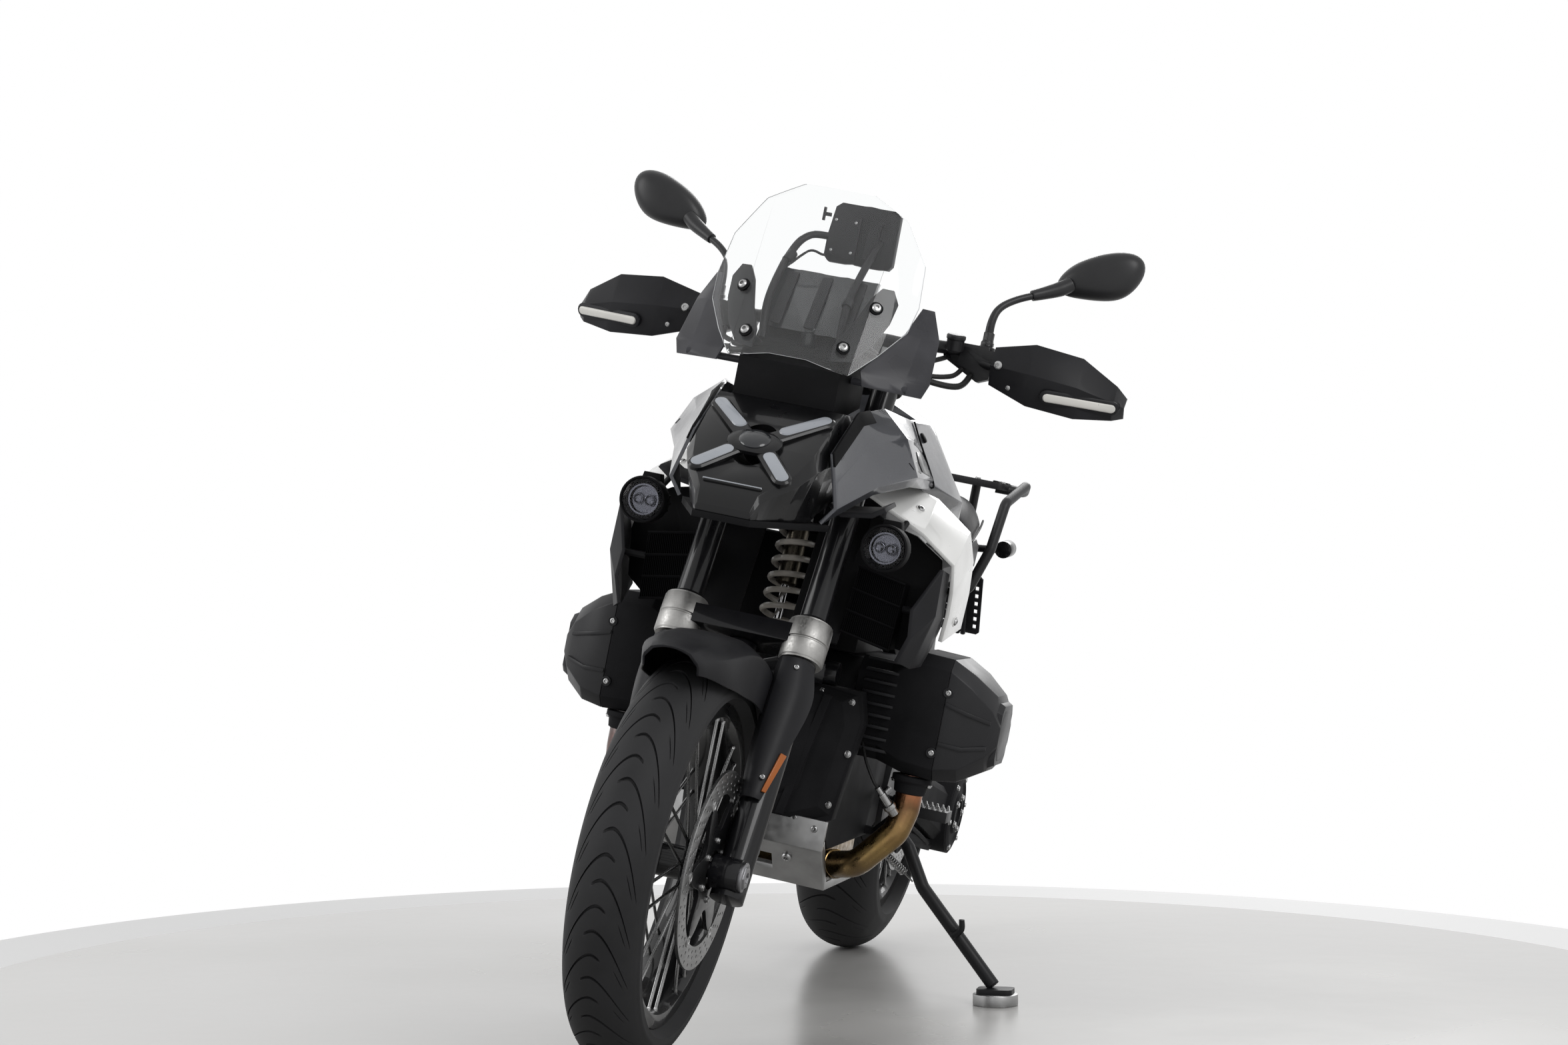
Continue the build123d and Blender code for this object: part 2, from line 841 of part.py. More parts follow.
def frame_pieces():
    """Main frame with steering head, rear frame, front arm and both spring struts."""
    with BuildPart() as main_frame:
        with BuildSketch(steering.offset(head_low)):
            Circle(31)
        extrude(amount=head_high - head_low)
        slab(
            side_plane(-40),
            [
                (-372, 1050),
                (-352, 1094),
                (-318, 1078),
                (-210, 900),
                (-120, 800),
                (210, 800),
                (240, 740),
                (-150, 720),
                (-230, 820),
                (-270, 884),
                (-335, 884),
            ],
            80,
        )
        for side in (-1, 1):
            slab(
                side_plane(side * 104 if side > 0 else -128),
                [
                    (40, 740),
                    (236, 740),
                    (286, 400),
                    (262, 318),
                    (186, 318),
                    (engine_rear + seat_gap, 420),
                    (engine_rear + seat_gap, 610),
                    (40, 670),
                ],
                24,
            )
        slab(
            side_plane(-128),
            [(60, 746), (226, 746), (232, 690), (60, 690)],
            256,
        )
        with BuildSketch(steering.offset(head_low - 10)):
            Circle(stem_radius + running_gap)
        extrude(amount=head_high - head_low + 20, mode=Mode.SUBTRACT)
        bar((-140, pivot_y, pivot_z), (140, pivot_y, pivot_z), 20.2, mode=Mode.SUBTRACT)
        for side in (-1, 1):
            tube(
                [
                    (side * 30, -226, 850),
                    (side * outrigger_x, -226, 850),
                    (side * outrigger_x, -330, outrigger_front_z),
                    (side * outrigger_x, radiator_rear + seat_gap, outrigger_front_z),
                ],
                8,
                20,
            )
            bar((side * 170, -300, 800), (side * 285.0, -300, 800), 6)
        bar((0, -359, 1092), (0, dash_rear + seat_gap, 1092), 14)
    with BuildPart() as rear_frame:
        for side in (-1, 1):
            slab(
                side_plane(side * 92 if side > 0 else -112),
                [
                    (242.3, 700),
                    (236 + seat_gap, 740),
                    rail_front,
                    rail_rear,
                    (800, 860),
                    (790, 820),
                    (560, 790),
                    (340, 700),
                ],
                20,
            )
        slab(side_plane(-112), [(700, 840), (712, 862), (790, 868), (790, 834)], 224)
        slab(side_plane(-112), [(330, 770), (340, 790), (400, 800), (400, 780)], 224)
    with BuildPart() as front_arm:
        with BuildSketch(steering.offset(arm_tip_low)):
            Circle(25)
        extrude(amount=arm_tip_high - arm_tip_low)
        skin(
            [
                (
                    cross_plane(arm_tip.Y + 25),
                    [
                        (-22, arm_tip.Z - 13),
                        (22, arm_tip.Z - 13),
                        (22, arm_tip.Z + 5),
                        (-22, arm_tip.Z + 5),
                    ],
                ),
                (
                    cross_plane(arm_tip.Y + 59),
                    [
                        (-26, arm_tip.Z - 21),
                        (26, arm_tip.Z - 21),
                        (26, arm_tip.Z + 5),
                        (-26, arm_tip.Z + 5),
                    ],
                ),
                (cross_plane(-425), [(-34, 610), (34, 610), (34, 644), (-34, 644)]),
                (cross_plane(-340), [(-96, 606), (96, 606), (96, 640), (-96, 640)]),
            ]
        )
        for side in (-1, 1):
            bar((side * 70, -322, 626), (side * 116, -322, 626), 20)
        with BuildSketch(steering.offset(arm_tip_low - 10)):
            Circle(ball_pin_radius + running_gap)
        extrude(amount=60, mode=Mode.SUBTRACT)
    with BuildPart() as front_shock:
        low = (0, -360, 645.6)
        high = (0, -312, 879.4)
        bar(low, high, 20)
        coil_low = (0, -355, 670)
        coil_high = (0, -316.5, 856)
        bar(coil_low, coil_high, 34)
    with BuildPart() as swingarm:
        bar((-127, pivot_y, pivot_z), (127, pivot_y, pivot_z), 20)
        bar((-100, pivot_y, pivot_z), (100, pivot_y, pivot_z), 34)
        outlines = []
        # columns: Y, inner X, outer X, low Z, high Z
        for y, inner, outer, low_z, high_z in [
            (pivot_y - 30, 30, 96, 350, 434),
            (288, 40, 100, 344, 436),
            (352, 92, 160, 338, 430),
            (420, 96, 166, 330, 420),
            (rear_axle_y - 59, 96, 170, rear_tyre_radius - 56, rear_tyre_radius + 54),
        ]:
            outline = [
                (inner, low_z),
                (outer - 14, low_z),
                (outer, low_z + 16),
                (outer, high_z - 16),
                (outer - 14, high_z),
                (inner, high_z),
            ]
            outlines.append((cross_plane(y), outline))
        skin(outlines)
        bar((92, rear_axle_y, rear_tyre_radius), (178, rear_axle_y, rear_tyre_radius), 84)
        slab(side_plane(-24), [(296, 376), (296, 440), (356, 446), (356, 392)], 104)
        bar(
            (80, rear_axle_y, rear_tyre_radius),
            (162, rear_axle_y, rear_tyre_radius),
            rear_shaft_radius + running_gap,
            mode=Mode.SUBTRACT,
        )
        bar(
            (80, rear_axle_y, rear_tyre_radius),
            (190, rear_axle_y, rear_tyre_radius),
            26,
            mode=Mode.SUBTRACT,
        )
        slab(
            side_plane(134),
            [
                (292, 300),
                (292, 320),
                (rear_axle_y - 69, rear_tyre_radius - 56),
                (rear_axle_y - 39, rear_tyre_radius - 38),
                (rear_axle_y - 29, rear_tyre_radius - 68),
                (rear_axle_y - 59, rear_tyre_radius - 80),
            ],
            16,
        )
    with BuildPart() as rear_shock:
        bar((-4, 322, 451.6), (-4, 212, 681), 20)
        bar((-4, 311, 477), (-4, 233, 638), 38)
    return {
        "main_frame": main_frame,
        "rear_frame": rear_frame,
        "front_arm": front_arm,
        "front_shock": front_shock,
        "swingarm": swingarm,
        "rear_shock": rear_shock,
    }


# ---------------------------------------------------------------- bodywork
def mirrored_outline(points):
    """Closes an outline given for the left half, from the bottom up, by mirroring it."""
    return points + [(-x, z) for x, z in reversed(points)]


tank_front = -296.0
tunnel_half = 44.0


def tank_pieces():
    """Fuel tank with its shoulders, and the grey side panels that reach forwards."""
    # columns: Y, then half width and Z of belly, waist, shoulder and top
    stations = [
        (tank_front, 118, 905, 204, 968, 152, 1064, 70, 1092),
        (-160, 150, 872, 236, 948, 158, 1070, 84, 1104),
        (-40, 140, 842, 214, 912, 130, 1042, 80, 1072),
        (60, 110, 830, 150, 884, 100, 960, 60, 980),
        (110, 96, 826, 118, 868, 84, 920, 50, 934),
    ]
    with BuildPart() as fuel_tank:
        outlines = []
        for y, belly, z0, waist, z1, shoulder, z2, top, z3 in stations:
            half = [(belly, z0), (waist, z1), (shoulder, z2), (top, z3)]
            outlines.append((cross_plane(y), mirrored_outline(half)))
        skin(outlines)
        slab(
            side_plane(-tunnel_half),
            [
                (-330, 1098),
                (-318, 1078.5),
                (-210, 900.5),
                (-120, 800.3),
                (200, 800.3),
                (200, 600),
                (-330, 600),
            ],
            2 * tunnel_half,
            mode=Mode.SUBTRACT,
        )
        with BuildSketch(steering.offset(900)):
            with Locations((0, yoke_behind - 150)):
                Rectangle(2 * (yoke_half + swing_gap), 300)
        extrude(amount=400, mode=Mode.SUBTRACT)
        with BuildSketch(Plane.XY.offset(1060)):
            with Locations((0, -184)):
                Circle(34)
        extrude(amount=52)
    return {"fuel_tank": fuel_tank}


# The ribbon-like side panels hang in a plane that leans back; local Y runs up it.
ribbon_wall = 7.0
ribbon_front = Plane(origin=(0, -452, 938), x_dir=(1, 0, 0), z_dir=(0, -0.924, -0.383))
ribbon_rear = Plane(origin=(0, -302, 938), x_dir=(1, 0, 0), z_dir=(0, -0.924, -0.383))


def side_panel_pieces():
    """Satin side panels, black shrouds ahead of them, radiators, ducts and airbox."""
    with BuildPart() as side_panels:
        front = [(130, 0), (234, -55), (290, -99), (293, -150), (291, -190), (284, -240)]
        rear = [(160, 28), (222, 10), (283, -38), (294, -90), (293, -150), (286, -217)]
        skin(
            [
                (ribbon_front, strip(front, ribbon_wall)),
                (ribbon_rear, strip(rear, ribbon_wall)),
            ]
        )
        mirror(about=Plane.YZ)
    with BuildPart() as radiator_shrouds:
        outlines = []
        # columns: Y, then half width and Z of the upper edge, the middle and the lower edge
        for y, x0, z0, x1, z1, x2, z2 in [
            (-478, 250, 764, 254, 720, 240, 676),
            (-445, 279, 836, 281, 760, 256, 668),
            (-395, 281, 830, 282, 760, 264, 672),
            (-345, 276, 760, 275, 740, 266, 704),
        ]:
            outlines.append((cross_plane(y), strip([(x0, z0), (x1, z1), (x2, z2)], 6.0)))
        skin(outlines)
        bar((220.4, -420, 760), (278, -420, 760), 6)
        mirror(about=Plane.YZ)
    with BuildPart() as radiators:
        slab(
            cross_plane(radiator_rear),
            [(130, 706), (216, 690), (222, 800), (140, 815)],
            40,
        )
        mirror(about=Plane.YZ)
    with BuildPart() as air_ducts:
        slab(
            cross_plane(-372),
            [
                (118, 706),
                (222, 690),
                (260, 720),
                (270, 800),
                (262, 850),
                (214, 880),
                (132, 898),
                (132, 868),
                (118, 830),
            ],
            12,
        )
        bar(
            (outrigger_x, -350, outrigger_front_z),
            (outrigger_x, radiator_rear, outrigger_front_z),
            8 + seat_gap,
            mode=Mode.SUBTRACT,
        )
        with BuildSketch(steering.offset(collar_high + 18)):
            with Locations((87, tube_behind + 3)):
                Rectangle(85, 6)
        extrude(amount=260)
        mirror(about=Plane.YZ)
    with BuildPart() as airbox:
        slab(
            side_plane(40 + seat_gap),
            [(-266, 662), (-50, 662), (-50, 816), (-110, 836), (-258, 836)],
            84,
        )
        mirror(about=Plane.YZ)
    return {
        "side_panels": side_panels,
        "radiator_shrouds": radiator_shrouds,
        "radiators": radiators,
        "air_ducts": air_ducts,
        "airbox": airbox,
    }


dash_top = 1146.0
screen_foot = Vector(0, -628, 1118)
screen_top = Vector(0, -493, 1414)
screen_radius = 300.0
screen_wall = 4.0
screen_plane = Plane(
    origin=screen_foot, x_dir=(1, 0, 0), z_dir=(screen_top - screen_foot).normalized()
)


def screen_point(x, up, depth):
    """A point at a depth behind the curved screen's outer face."""
    fall = screen_radius - (screen_radius**2 - x**2) ** 0.5
    return screen_plane.from_local_coords(Vector(x, fall + depth, up))


def nose_pieces():
    """Beak and upper nose panels, headlight with its housing, and the dash panel."""
    with BuildPart() as nose_panels:
        outlines = []
        # columns: Y, then half width and Z of lower edge, side edge, shoulder and upper edge
        for y, x0, z0, x1, z1, x2, z2, x3, z3 in [
            (tank_front - seat_gap, 202, 958, 206, 975, 171, 1029, 152, 1066),
            (-465, 202, 957, 212, 975, 183, 1033, 136, 1074),
            (-560, 166, 934, 172, 948, 146, 1010, 118, 1056),
            (-671, 118, 874, 138, 902, 128, 940, 116, 985),
        ]:
            outline = strip([(x3, z3), (x2, z2), (x1, z1), (x0, z0)], 6.0)
            outlines.append((cross_plane(y), outline))
        skin(outlines)
        mirror(about=Plane.YZ)
        skin(
            [
                (cross_plane(-630), [(-122, 864), (122, 864), (122, 874), (-122, 874)]),
                (cross_plane(-829), [(-46, 852), (46, 852), (46, 862), (-46, 862)]),
            ]
        )
    with BuildPart() as headlight_housing:
        outlines = []
        # columns: Y, half width and Z low, half width and Z middle, half width and Z high
        for y, x0, z0, x1, z1, x2, z2 in [
            (-548, 92, 900, 112, 970, 106, 1049.7),
            (-600, 90, 886, 110, 968, 102, 1049.7),
            (-660, 96, 872.5, 108, 962, 100, 1014),
            (-715, 84, 869.2, 106, 950, 96, 976),
            (-750, 70, 867.1, 90, 925, 84, 944),
            (-812, 50, 863.4, 52, 890, 46, 900),
            (-826, 42, 862.5, 44, 868, 42, 874),
        ]:
            outlines.append((cross_plane(y), mirrored_outline([(x0, z0), (x1, z1), (x2, z2)])))
        skin(outlines)
        with BuildSketch(steering.offset(900)):
            with Locations((0, 100 - tube_ahead)):
                Rectangle(2 * (yoke_half + swing_gap), 200)
        extrude(amount=400, mode=Mode.SUBTRACT)
        bar((0, -660, 976), (0, -780, 976), 34, mode=Mode.SUBTRACT)
    with BuildPart() as headlight_lens:
        bar((0, -660 - seat_gap, 976), (0, -692, 976), 34 - seat_gap)
        for side in (-1, 1):
            for start, end in [
                ((36, -687, 1004), (88, -650, 1030)),
                ((33, -726, 962), (72, -754, 940)),
            ]:
                bar((side * start[0], start[1], start[2]), (side * end[0], end[1], end[2]), 9)
        add(headlight_housing.part, mode=Mode.SUBTRACT)
    with BuildPart() as dash_panel:
        outlines = []
        for y, half_low, low, half_high, high in [
            (dash_rear, 96, 1066, 96, dash_top),
            (-540, 94, 1050, 94, dash_top),
            (-596, 84, 1050, 84, 1112),
        ]:
            outlines.append(
                (cross_plane(y), mirrored_outline([(half_low, low), (half_high, high)]))
            )
        skin(outlines)
        for side in (-1, 1):
            post_foot = screen_point(side * 80, 46, screen_wall + 2.4)
            bar(post_foot, screen_point(side * 80, 46, screen_wall + 52), 7)
    return {
        "nose_panels": nose_panels,
        "headlight_housing": headlight_housing,
        "headlight_lens": headlight_lens,
        "dash_panel": dash_panel,
    }


def screen_pieces():
    """Curved windshield, the wind deflectors beside it, display and device cradle."""
    length = (screen_top - screen_foot).length
    half = 176.0
    fall = screen_radius - (screen_radius**2 - half**2) ** 0.5
    with BuildPart() as windshield:
        with BuildSketch(screen_plane):
            with BuildLine():
                ThreePointArc((-half, fall), (0, 0), (half, fall))
                Line((half, fall), (half, fall + screen_wall))
                ThreePointArc((half, fall + screen_wall), (0, screen_wall), (-half, fall + screen_wall))
                Line((-half, fall + screen_wall), (-half, fall))
            make_face()
        extrude(amount=length + 60)
        slab(
            cross_plane(-200),
            mirrored_outline(
                [
                    (31, 1122),
                    (98, 1108),
                    (132, 1148),
                    (164, 1196),
                    (170, 1240),
                    (162, 1310),
                    (120, 1376),
                    (60, 1408),
                ]
            ),
            600,
            10,
            mode=Mode.INTERSECT,
        )
    with BuildPart() as wind_deflectors:
        outlines = []
        # columns: Z, then X and Y of the outer edge, the fold and the inner edge
        for z, x0, y0, x1, y1, x2, y2 in [
            (1098, 206, -534, 176, -561, 122, -598),
            (1122, 214, -526, 178, -552, 114, -594),
            (1196, 206, -478, 182, -502, 158, -520),
            (1243, 186, -462, 176, -473, 170, -478),
        ]:
            outlines.append((Plane.XY.offset(z), strip([(x0, y0), (x1, y1), (x2, y2)], 3.0)))
        skin(outlines)
        bar((93.3, -552, 1106), (184, -552, 1106), 6)
        mirror(about=Plane.YZ)
    with BuildPart() as instrument_display:
        skin(
            [
                (Plane.XY.offset(1170), [(-82, -520), (82, -520), (82, -500), (-82, -500)]),
                (Plane.XY.offset(1272), [(-82, -452), (82, -452), (82, -432), (-82, -432)]),
            ]
        )
        bar((0, -505, dash_top + seat_gap), (0, -505, 1180), 14)
    with BuildPart() as nav_cradle:
        tube(
            [
                (-70, -536, dash_top + 3 * seat_gap),
                (-72, -528, 1236),
                (-60, -424, 1334),
                (44, -420, 1336),
                (58, -524, 1236),
                (58, -534, dash_top + 3 * seat_gap),
            ],
            6,
            12,
        )
        slab(cross_plane(-384), [(-30, 1298), (86, 1298), (86, 1396), (-30, 1396)], 24, 6)
        bar((-4, -418, 1336), (-4, -400, 1336), 9)
    with BuildPart() as fog_lamps:
        bar((203, -520, 855), (203, -578, 855), 38)
        lamp_seat = ribbon_front.from_local_coords(Vector(203, -42.5, 2 * seat_gap))
        bar(lamp_seat, lamp_seat + ribbon_front.z_dir * 96, 5)
        mirror(about=Plane.YZ)
    return {
        "windshield": windshield,
        "wind_deflectors": wind_deflectors,
        "instrument_display": instrument_display,
        "nav_cradle": nav_cradle,
        "fog_lamps": fog_lamps,
    }


def rail_top(y):
    """Height just above the rear frame's rails, which slope up to the tail."""
    return rail_front[1] + (y - rail_front[0]) * rail_slope + seat_gap


def seat_pieces():
    """Rider and pillion seats, luggage rack with its grab rails."""
    with BuildPart() as rider_seat:
        outlines = []
        # columns: Y, half width and Z at base, half width and Z at side, half and Z at top
        for y, x0, z0, x1, z1, x2, z2 in [
            (116, 80, 830, 92, 880, 50, 914),
            (190, 96, 812, 130, 846, 90, 878),
            (300, 116, rail_top(300), 168, 832, 130, 862),
            (356, 116, rail_top(356), 176, 850, 130, 894),
        ]:
            outlines.append((cross_plane(y), mirrored_outline([(x0, z0), (x1, z1), (x2, z2)])))
        skin(outlines)
    with BuildPart() as pillion_seat:
        outlines = []
        for y, x0, z0, x1, z1, x2, z2 in [
            (364, 118, rail_top(364), 170, 868, 130, 930),
            (480, 118, rail_top(480), 160, 892, 120, 956),
            (620, 100, rail_top(620), 140, 910, 100, 962),
        ]:
            outlines.append((cross_plane(y), mirrored_outline([(x0, z0), (x1, z1), (x2, z2)])))
        skin(outlines)
    with BuildPart() as luggage_rack:
        slab(
            Plane.XY.offset(984),
            [(-168, 610), (168, 610), (186, 660), (176, 790), (-176, 790), (-186, 660)],
            14,
            16,
        )
        with BuildSketch(Plane.XY.offset(980)):
            with Locations((0, 700)):
                with GridLocations(68, 0, 5, 1):
                    SlotCenterToCenter(90, 14, rotation=90)
        extrude(amount=30, mode=Mode.SUBTRACT)
        with BuildSketch(Plane.XY.offset(980)):
            with Locations((0, 700)):
                with PolarLocations(75, 4, 45):
                    Circle(3.3)
        extrude(amount=30, mode=Mode.SUBTRACT)
        for side in (-1, 1):
            tube(
                [
                    (side * 150, 640, 987),
                    (side * 206, 650, 987),
                    (side * 222, 560, 1000),
                    (side * 206, 460, 960),
                    (side * 198, 440, 868),
                    (side * 170, 436, 780),
                    (side * (112 + seat_gap), 436, 780),
                ],
                10,
                18,
            )
        for side in (-1, 1):
            bar((side * 102, 690, 866.2), (side * 102, 690, 990), 9)
    return {
        "rider_seat": rider_seat,
        "pillion_seat": pillion_seat,
        "luggage_rack": luggage_rack,
    }


def tail_pieces():
    """Number-plate carrier with its blank plate, tail lamp with indicators, rear hugger."""
    with BuildPart() as plate_carrier:
        slab(
            side_plane(-62),
            [
                (790 + seat_gap, 800),
                (790 + seat_gap, 862),
                (900, 872),
                (1010, 820),
                (1128, 640),
                (1116, 630),
                (1000, 790),
                (900, 830),
            ],
            124,
        )
        plate_plane = Plane(
            origin=(0, 1068, 729.5), x_dir=(1, 0, 0), z_dir=(0, 0.836, 0.5486)
        )
        with BuildSketch(plate_plane):
            Rectangle(190, 150)
        extrude(amount=4)
    with BuildPart() as rear_lamps:
        for side in (-1, 1):
            bar((side * 58, 960, 852), (side * 140, 975, 862), 8)
            bar((side * 138, 950, 862), (side * 138, 1010, 866), 18)
        bar((-63, 900, 873), (63, 900, 873), 16)
        add(plate_carrier.part, mode=Mode.SUBTRACT)
    with BuildPart() as rear_hugger:
        outlines = []
        for angle, over_tyre in [(104, 18), (136, 16), (166, 16)]:
            crown = rear_tyre_radius + over_tyre
            plane = radial_plane(rear_axle_y, rear_tyre_radius, angle)
            outline = [
                (-91.7, crown - 40),
                (-80, crown),
                (80, crown),
                (91.7, crown - 40),
                (95.7, crown - 40),
                (84, crown + 4),
                (-84, crown + 4),
                (-95.7, crown - 40),
            ]
            outlines.append((plane, outline))
        skin(outlines)
    return {
        "plate_carrier": plate_carrier,
        "rear_lamps": rear_lamps,
        "rear_hugger": rear_hugger,
    }


def foot_pieces():
    """Foot pegs on their plates, gear lever and brake pedal."""
    with BuildPart() as foot_controls:
        slab(
            side_plane(128 + seat_gap),
            [(170, 330), (250, 330), (264, 420), (226, 500), (190, 480), (160, 400)],
            14,
        )
        bar((140, 196, 372), (236, 196, 372), 9)
        slab(side_plane(160), [(170, 362), (222, 362), (222, 382), (170, 382)], 100)
        tube([(134, 190, 402), (150, 150, 402), (156, 62, 398), (204, 54, 398)], 6, 10)
        mirror(about=Plane.YZ)
    with BuildPart() as passenger_pegs:
        slab(
            side_plane(112 + seat_gap),
            [(340, 720), (430, 750), (512, 500), (512, 462), (410, 462)],
            12,
        )
        bar((118, 430, 486), (226, 430, 486), 9)
        slab(side_plane(146), [(408, 478), (452, 478), (452, 494), (408, 494)], 80)
        mirror(about=Plane.YZ)
    return {"foot_controls": foot_controls, "passenger_pegs": passenger_pegs}


# ---------------------------------------------------------------- side stand


def stand_pieces():
    """Side stand with its foot, and the round puck that it rests on."""
    foot = (446.0, 16.0)
    with BuildPart() as stand_puck:
        with BuildSketch(floor):
            with Locations(foot):
                Circle(puck_radius)
        extrude(amount=puck_height)
    with BuildPart() as side_stand:
        with BuildSketch(floor.offset(puck_height)):
            with Locations(foot):
                RectangleRounded(64, 50, 12)
        extrude(amount=9)
        foot_top = floor.from_local_coords(Vector(foot[0] - 4, foot[1], puck_height + 14))
        shoulder = Vector(*stand_pivot) + stand_down * 0.13
        tube(
            [stand_pivot, tuple(shoulder), (262, 54, 256), tuple(foot_top)],
            stand_eye_half,
            [14, 40],
        )
        with BuildSketch(stand_hinge.offset(-stand_eye_half)):
            Circle(20)
        extrude(amount=2 * stand_eye_half)
        with BuildSketch(stand_hinge.offset(-2 * stand_eye_half)):
            Circle(stand_pin_radius + running_gap)
        extrude(amount=4 * stand_eye_half, mode=Mode.SUBTRACT)
    return {"stand_puck": stand_puck, "side_stand": side_stand}


# ---------------------------------------------------------------- every piece, parked
def print_places(standing):
    """Prints joint axes and fastening places in millimetres, as the parked bike has them."""
    across = Vector(1, 0, 0)
    places = {
        "steering": (steering.from_local_coords(Vector(0, 0, head_low)), steering.z_dir),
        "front_wheel_spin": (Vector(0, front_axle_y, front_tyre_radius), across),
        "rear_wheel_spin": (Vector(0, rear_axle_y, rear_tyre_radius), across),
        "side_stand_swing": (Vector(*stand_pivot), stand_hinge.z_dir),
        "rack_top": (Vector(0, 700, 998), Vector(0, 0, 1)),
    }
    for name, (point, direction) in places.items():
        start = (standing * Location(point)).position
        end = (standing * Location(point + direction.normalized())).position
        print(name, [round(v, 4) for v in start], [round(v, 6) for v in end - start])


def main():
    """Makes every piece, leans it onto the stand and writes it as its own file.

    The parked bike's box stands centred over the origin, with its lowest point at Z 0.
    """
    os.makedirs("parts", exist_ok=True)
    makers = [
        front_wheel_pieces,
        rear_wheel_pieces,
        fork_pieces,
        fender_piece,
        handlebar_pieces,
        engine_pieces,
        exhaust_pieces,
        frame_pieces,
        tank_pieces,
        side_panel_pieces,
        nose_pieces,
        screen_pieces,
        seat_pieces,
        tail_pieces,
        foot_pieces,
        stand_pieces,
    ]
    pieces = {}
    for make in makers:
        for name, piece in make().items():
            pieces[name] = parked * piece.part
    boxes = [piece.bounding_box() for piece in pieces.values()]
    middle_x = (min(box.min.X for box in boxes) + max(box.max.X for box in boxes)) / 2
    middle_y = (min(box.min.Y for box in boxes) + max(box.max.Y for box in boxes)) / 2
    home = Location((-middle_x, -middle_y, -min(box.min.Z for box in boxes)))
    for name, piece in pieces.items():
        placed = home * piece
        placed.label = name
        export_step(placed, f"parts/{name}.step")
    print_places(home * parked)


main()
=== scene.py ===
"""Looks of the parked adventure motorcycle: finishes, trim, camera and light around its frame."""

import json
import math

import bmesh
import bpy
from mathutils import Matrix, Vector

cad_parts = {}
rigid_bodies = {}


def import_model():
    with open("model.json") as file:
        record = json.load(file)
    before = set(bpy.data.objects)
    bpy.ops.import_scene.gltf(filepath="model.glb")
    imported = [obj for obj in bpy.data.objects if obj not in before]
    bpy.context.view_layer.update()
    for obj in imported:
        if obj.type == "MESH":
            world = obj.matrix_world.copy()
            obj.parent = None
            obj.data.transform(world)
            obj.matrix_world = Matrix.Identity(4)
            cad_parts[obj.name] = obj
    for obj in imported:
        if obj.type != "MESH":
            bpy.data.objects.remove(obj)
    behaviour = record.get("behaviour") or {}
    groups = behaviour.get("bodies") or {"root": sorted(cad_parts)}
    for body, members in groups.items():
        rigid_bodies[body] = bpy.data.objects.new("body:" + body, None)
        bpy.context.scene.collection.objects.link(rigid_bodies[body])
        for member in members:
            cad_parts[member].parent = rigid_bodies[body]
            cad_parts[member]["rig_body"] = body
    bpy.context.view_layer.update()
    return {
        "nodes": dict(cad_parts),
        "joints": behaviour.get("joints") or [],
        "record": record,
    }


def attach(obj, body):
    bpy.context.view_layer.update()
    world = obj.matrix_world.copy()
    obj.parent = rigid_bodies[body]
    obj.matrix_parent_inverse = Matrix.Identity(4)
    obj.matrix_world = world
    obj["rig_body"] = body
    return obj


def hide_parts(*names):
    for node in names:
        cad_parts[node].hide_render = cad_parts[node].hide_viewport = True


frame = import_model()
nodes = frame["nodes"]
slots = {part["node"]: part["material_slot"] for part in frame["record"]["subparts"]}
joints = {joint["name"]: joint for joint in frame["joints"]}

# --- the bike's own frame
# Pieces are written upright, in millimetres: X to the left, Y rearwards, Z up. The parked
# motorcycle leans, so its frame comes from the two wheel axles.
MM = 0.001
FRONT_RADIUS = 325.0
REAR_RADIUS = 318.0
FRONT_AXLE = (0.0, -759.0, FRONT_RADIUS)
REAR_AXLE = (0.0, 759.0, REAR_RADIUS)
RAKE = math.radians(26.2)
STEER_FOOT = -871.0  # Y where the steering axis meets the ground
STEER_UP = (0, math.sin(RAKE), math.cos(RAKE))

left = Vector(joints["front_wheel_spin"]["axis"]).normalized()
front_place = Vector(joints["front_wheel_spin"]["pos_m"])
rear_place = Vector(joints["rear_wheel_spin"]["pos_m"])
between = (rear_place - front_place).normalized()
square = left.cross(between)
slope = math.atan2(FRONT_RADIUS - REAR_RADIUS, REAR_AXLE[1] - FRONT_AXLE[1])
back = between * math.cos(slope) + square * math.sin(slope)
up = square * math.cos(slope) - between * math.sin(slope)
origin = front_place - (back * FRONT_AXLE[1] + up * FRONT_AXLE[2]) * MM


def at(point):
    """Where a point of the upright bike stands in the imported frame."""
    x, y, z = point
    return origin + (left * x + back * y + up * z) * MM


def upright(place):
    """The bike-frame place, in millimetres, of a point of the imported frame."""
    offset = place - origin
    return offset.dot(left) / MM, offset.dot(back) / MM, offset.dot(up) / MM


def fork_point(x, behind, along):
    """A point given in the steering frame: to the left, behind the axis, up along it."""
    y = STEER_FOOT + along * math.sin(RAKE) + behind * math.cos(RAKE)
    return (x, y, along * math.cos(RAKE) - behind * math.sin(RAKE))


def steered(x, y, z):
    """The steering-frame place of a bike-frame point: left, behind, along."""
    run, rise = math.sin(RAKE), math.cos(RAKE)
    return x, (y - STEER_FOOT) * rise - z * run, (y - STEER_FOOT) * run + z * rise


def wheel_point(axle, x, radius, degrees):
    """A point about a wheel's axle: 0 degrees to the rear, 90 upwards."""
    turn = math.radians(degrees)
    return Vector((x, axle[1] + radius * math.cos(turn), axle[2] + radius * math.sin(turn)))


# --- materials
def feed(tree, node, **values):
    """Fills sockets, their names with _ for spaces, with a value or from another socket."""
    for name, value in values.items():
        socket = node.inputs[name.replace("_", " ")]
        if isinstance(value, bpy.types.NodeSocket):
            tree.links.new(value, socket)
        else:
            socket.default_value = value


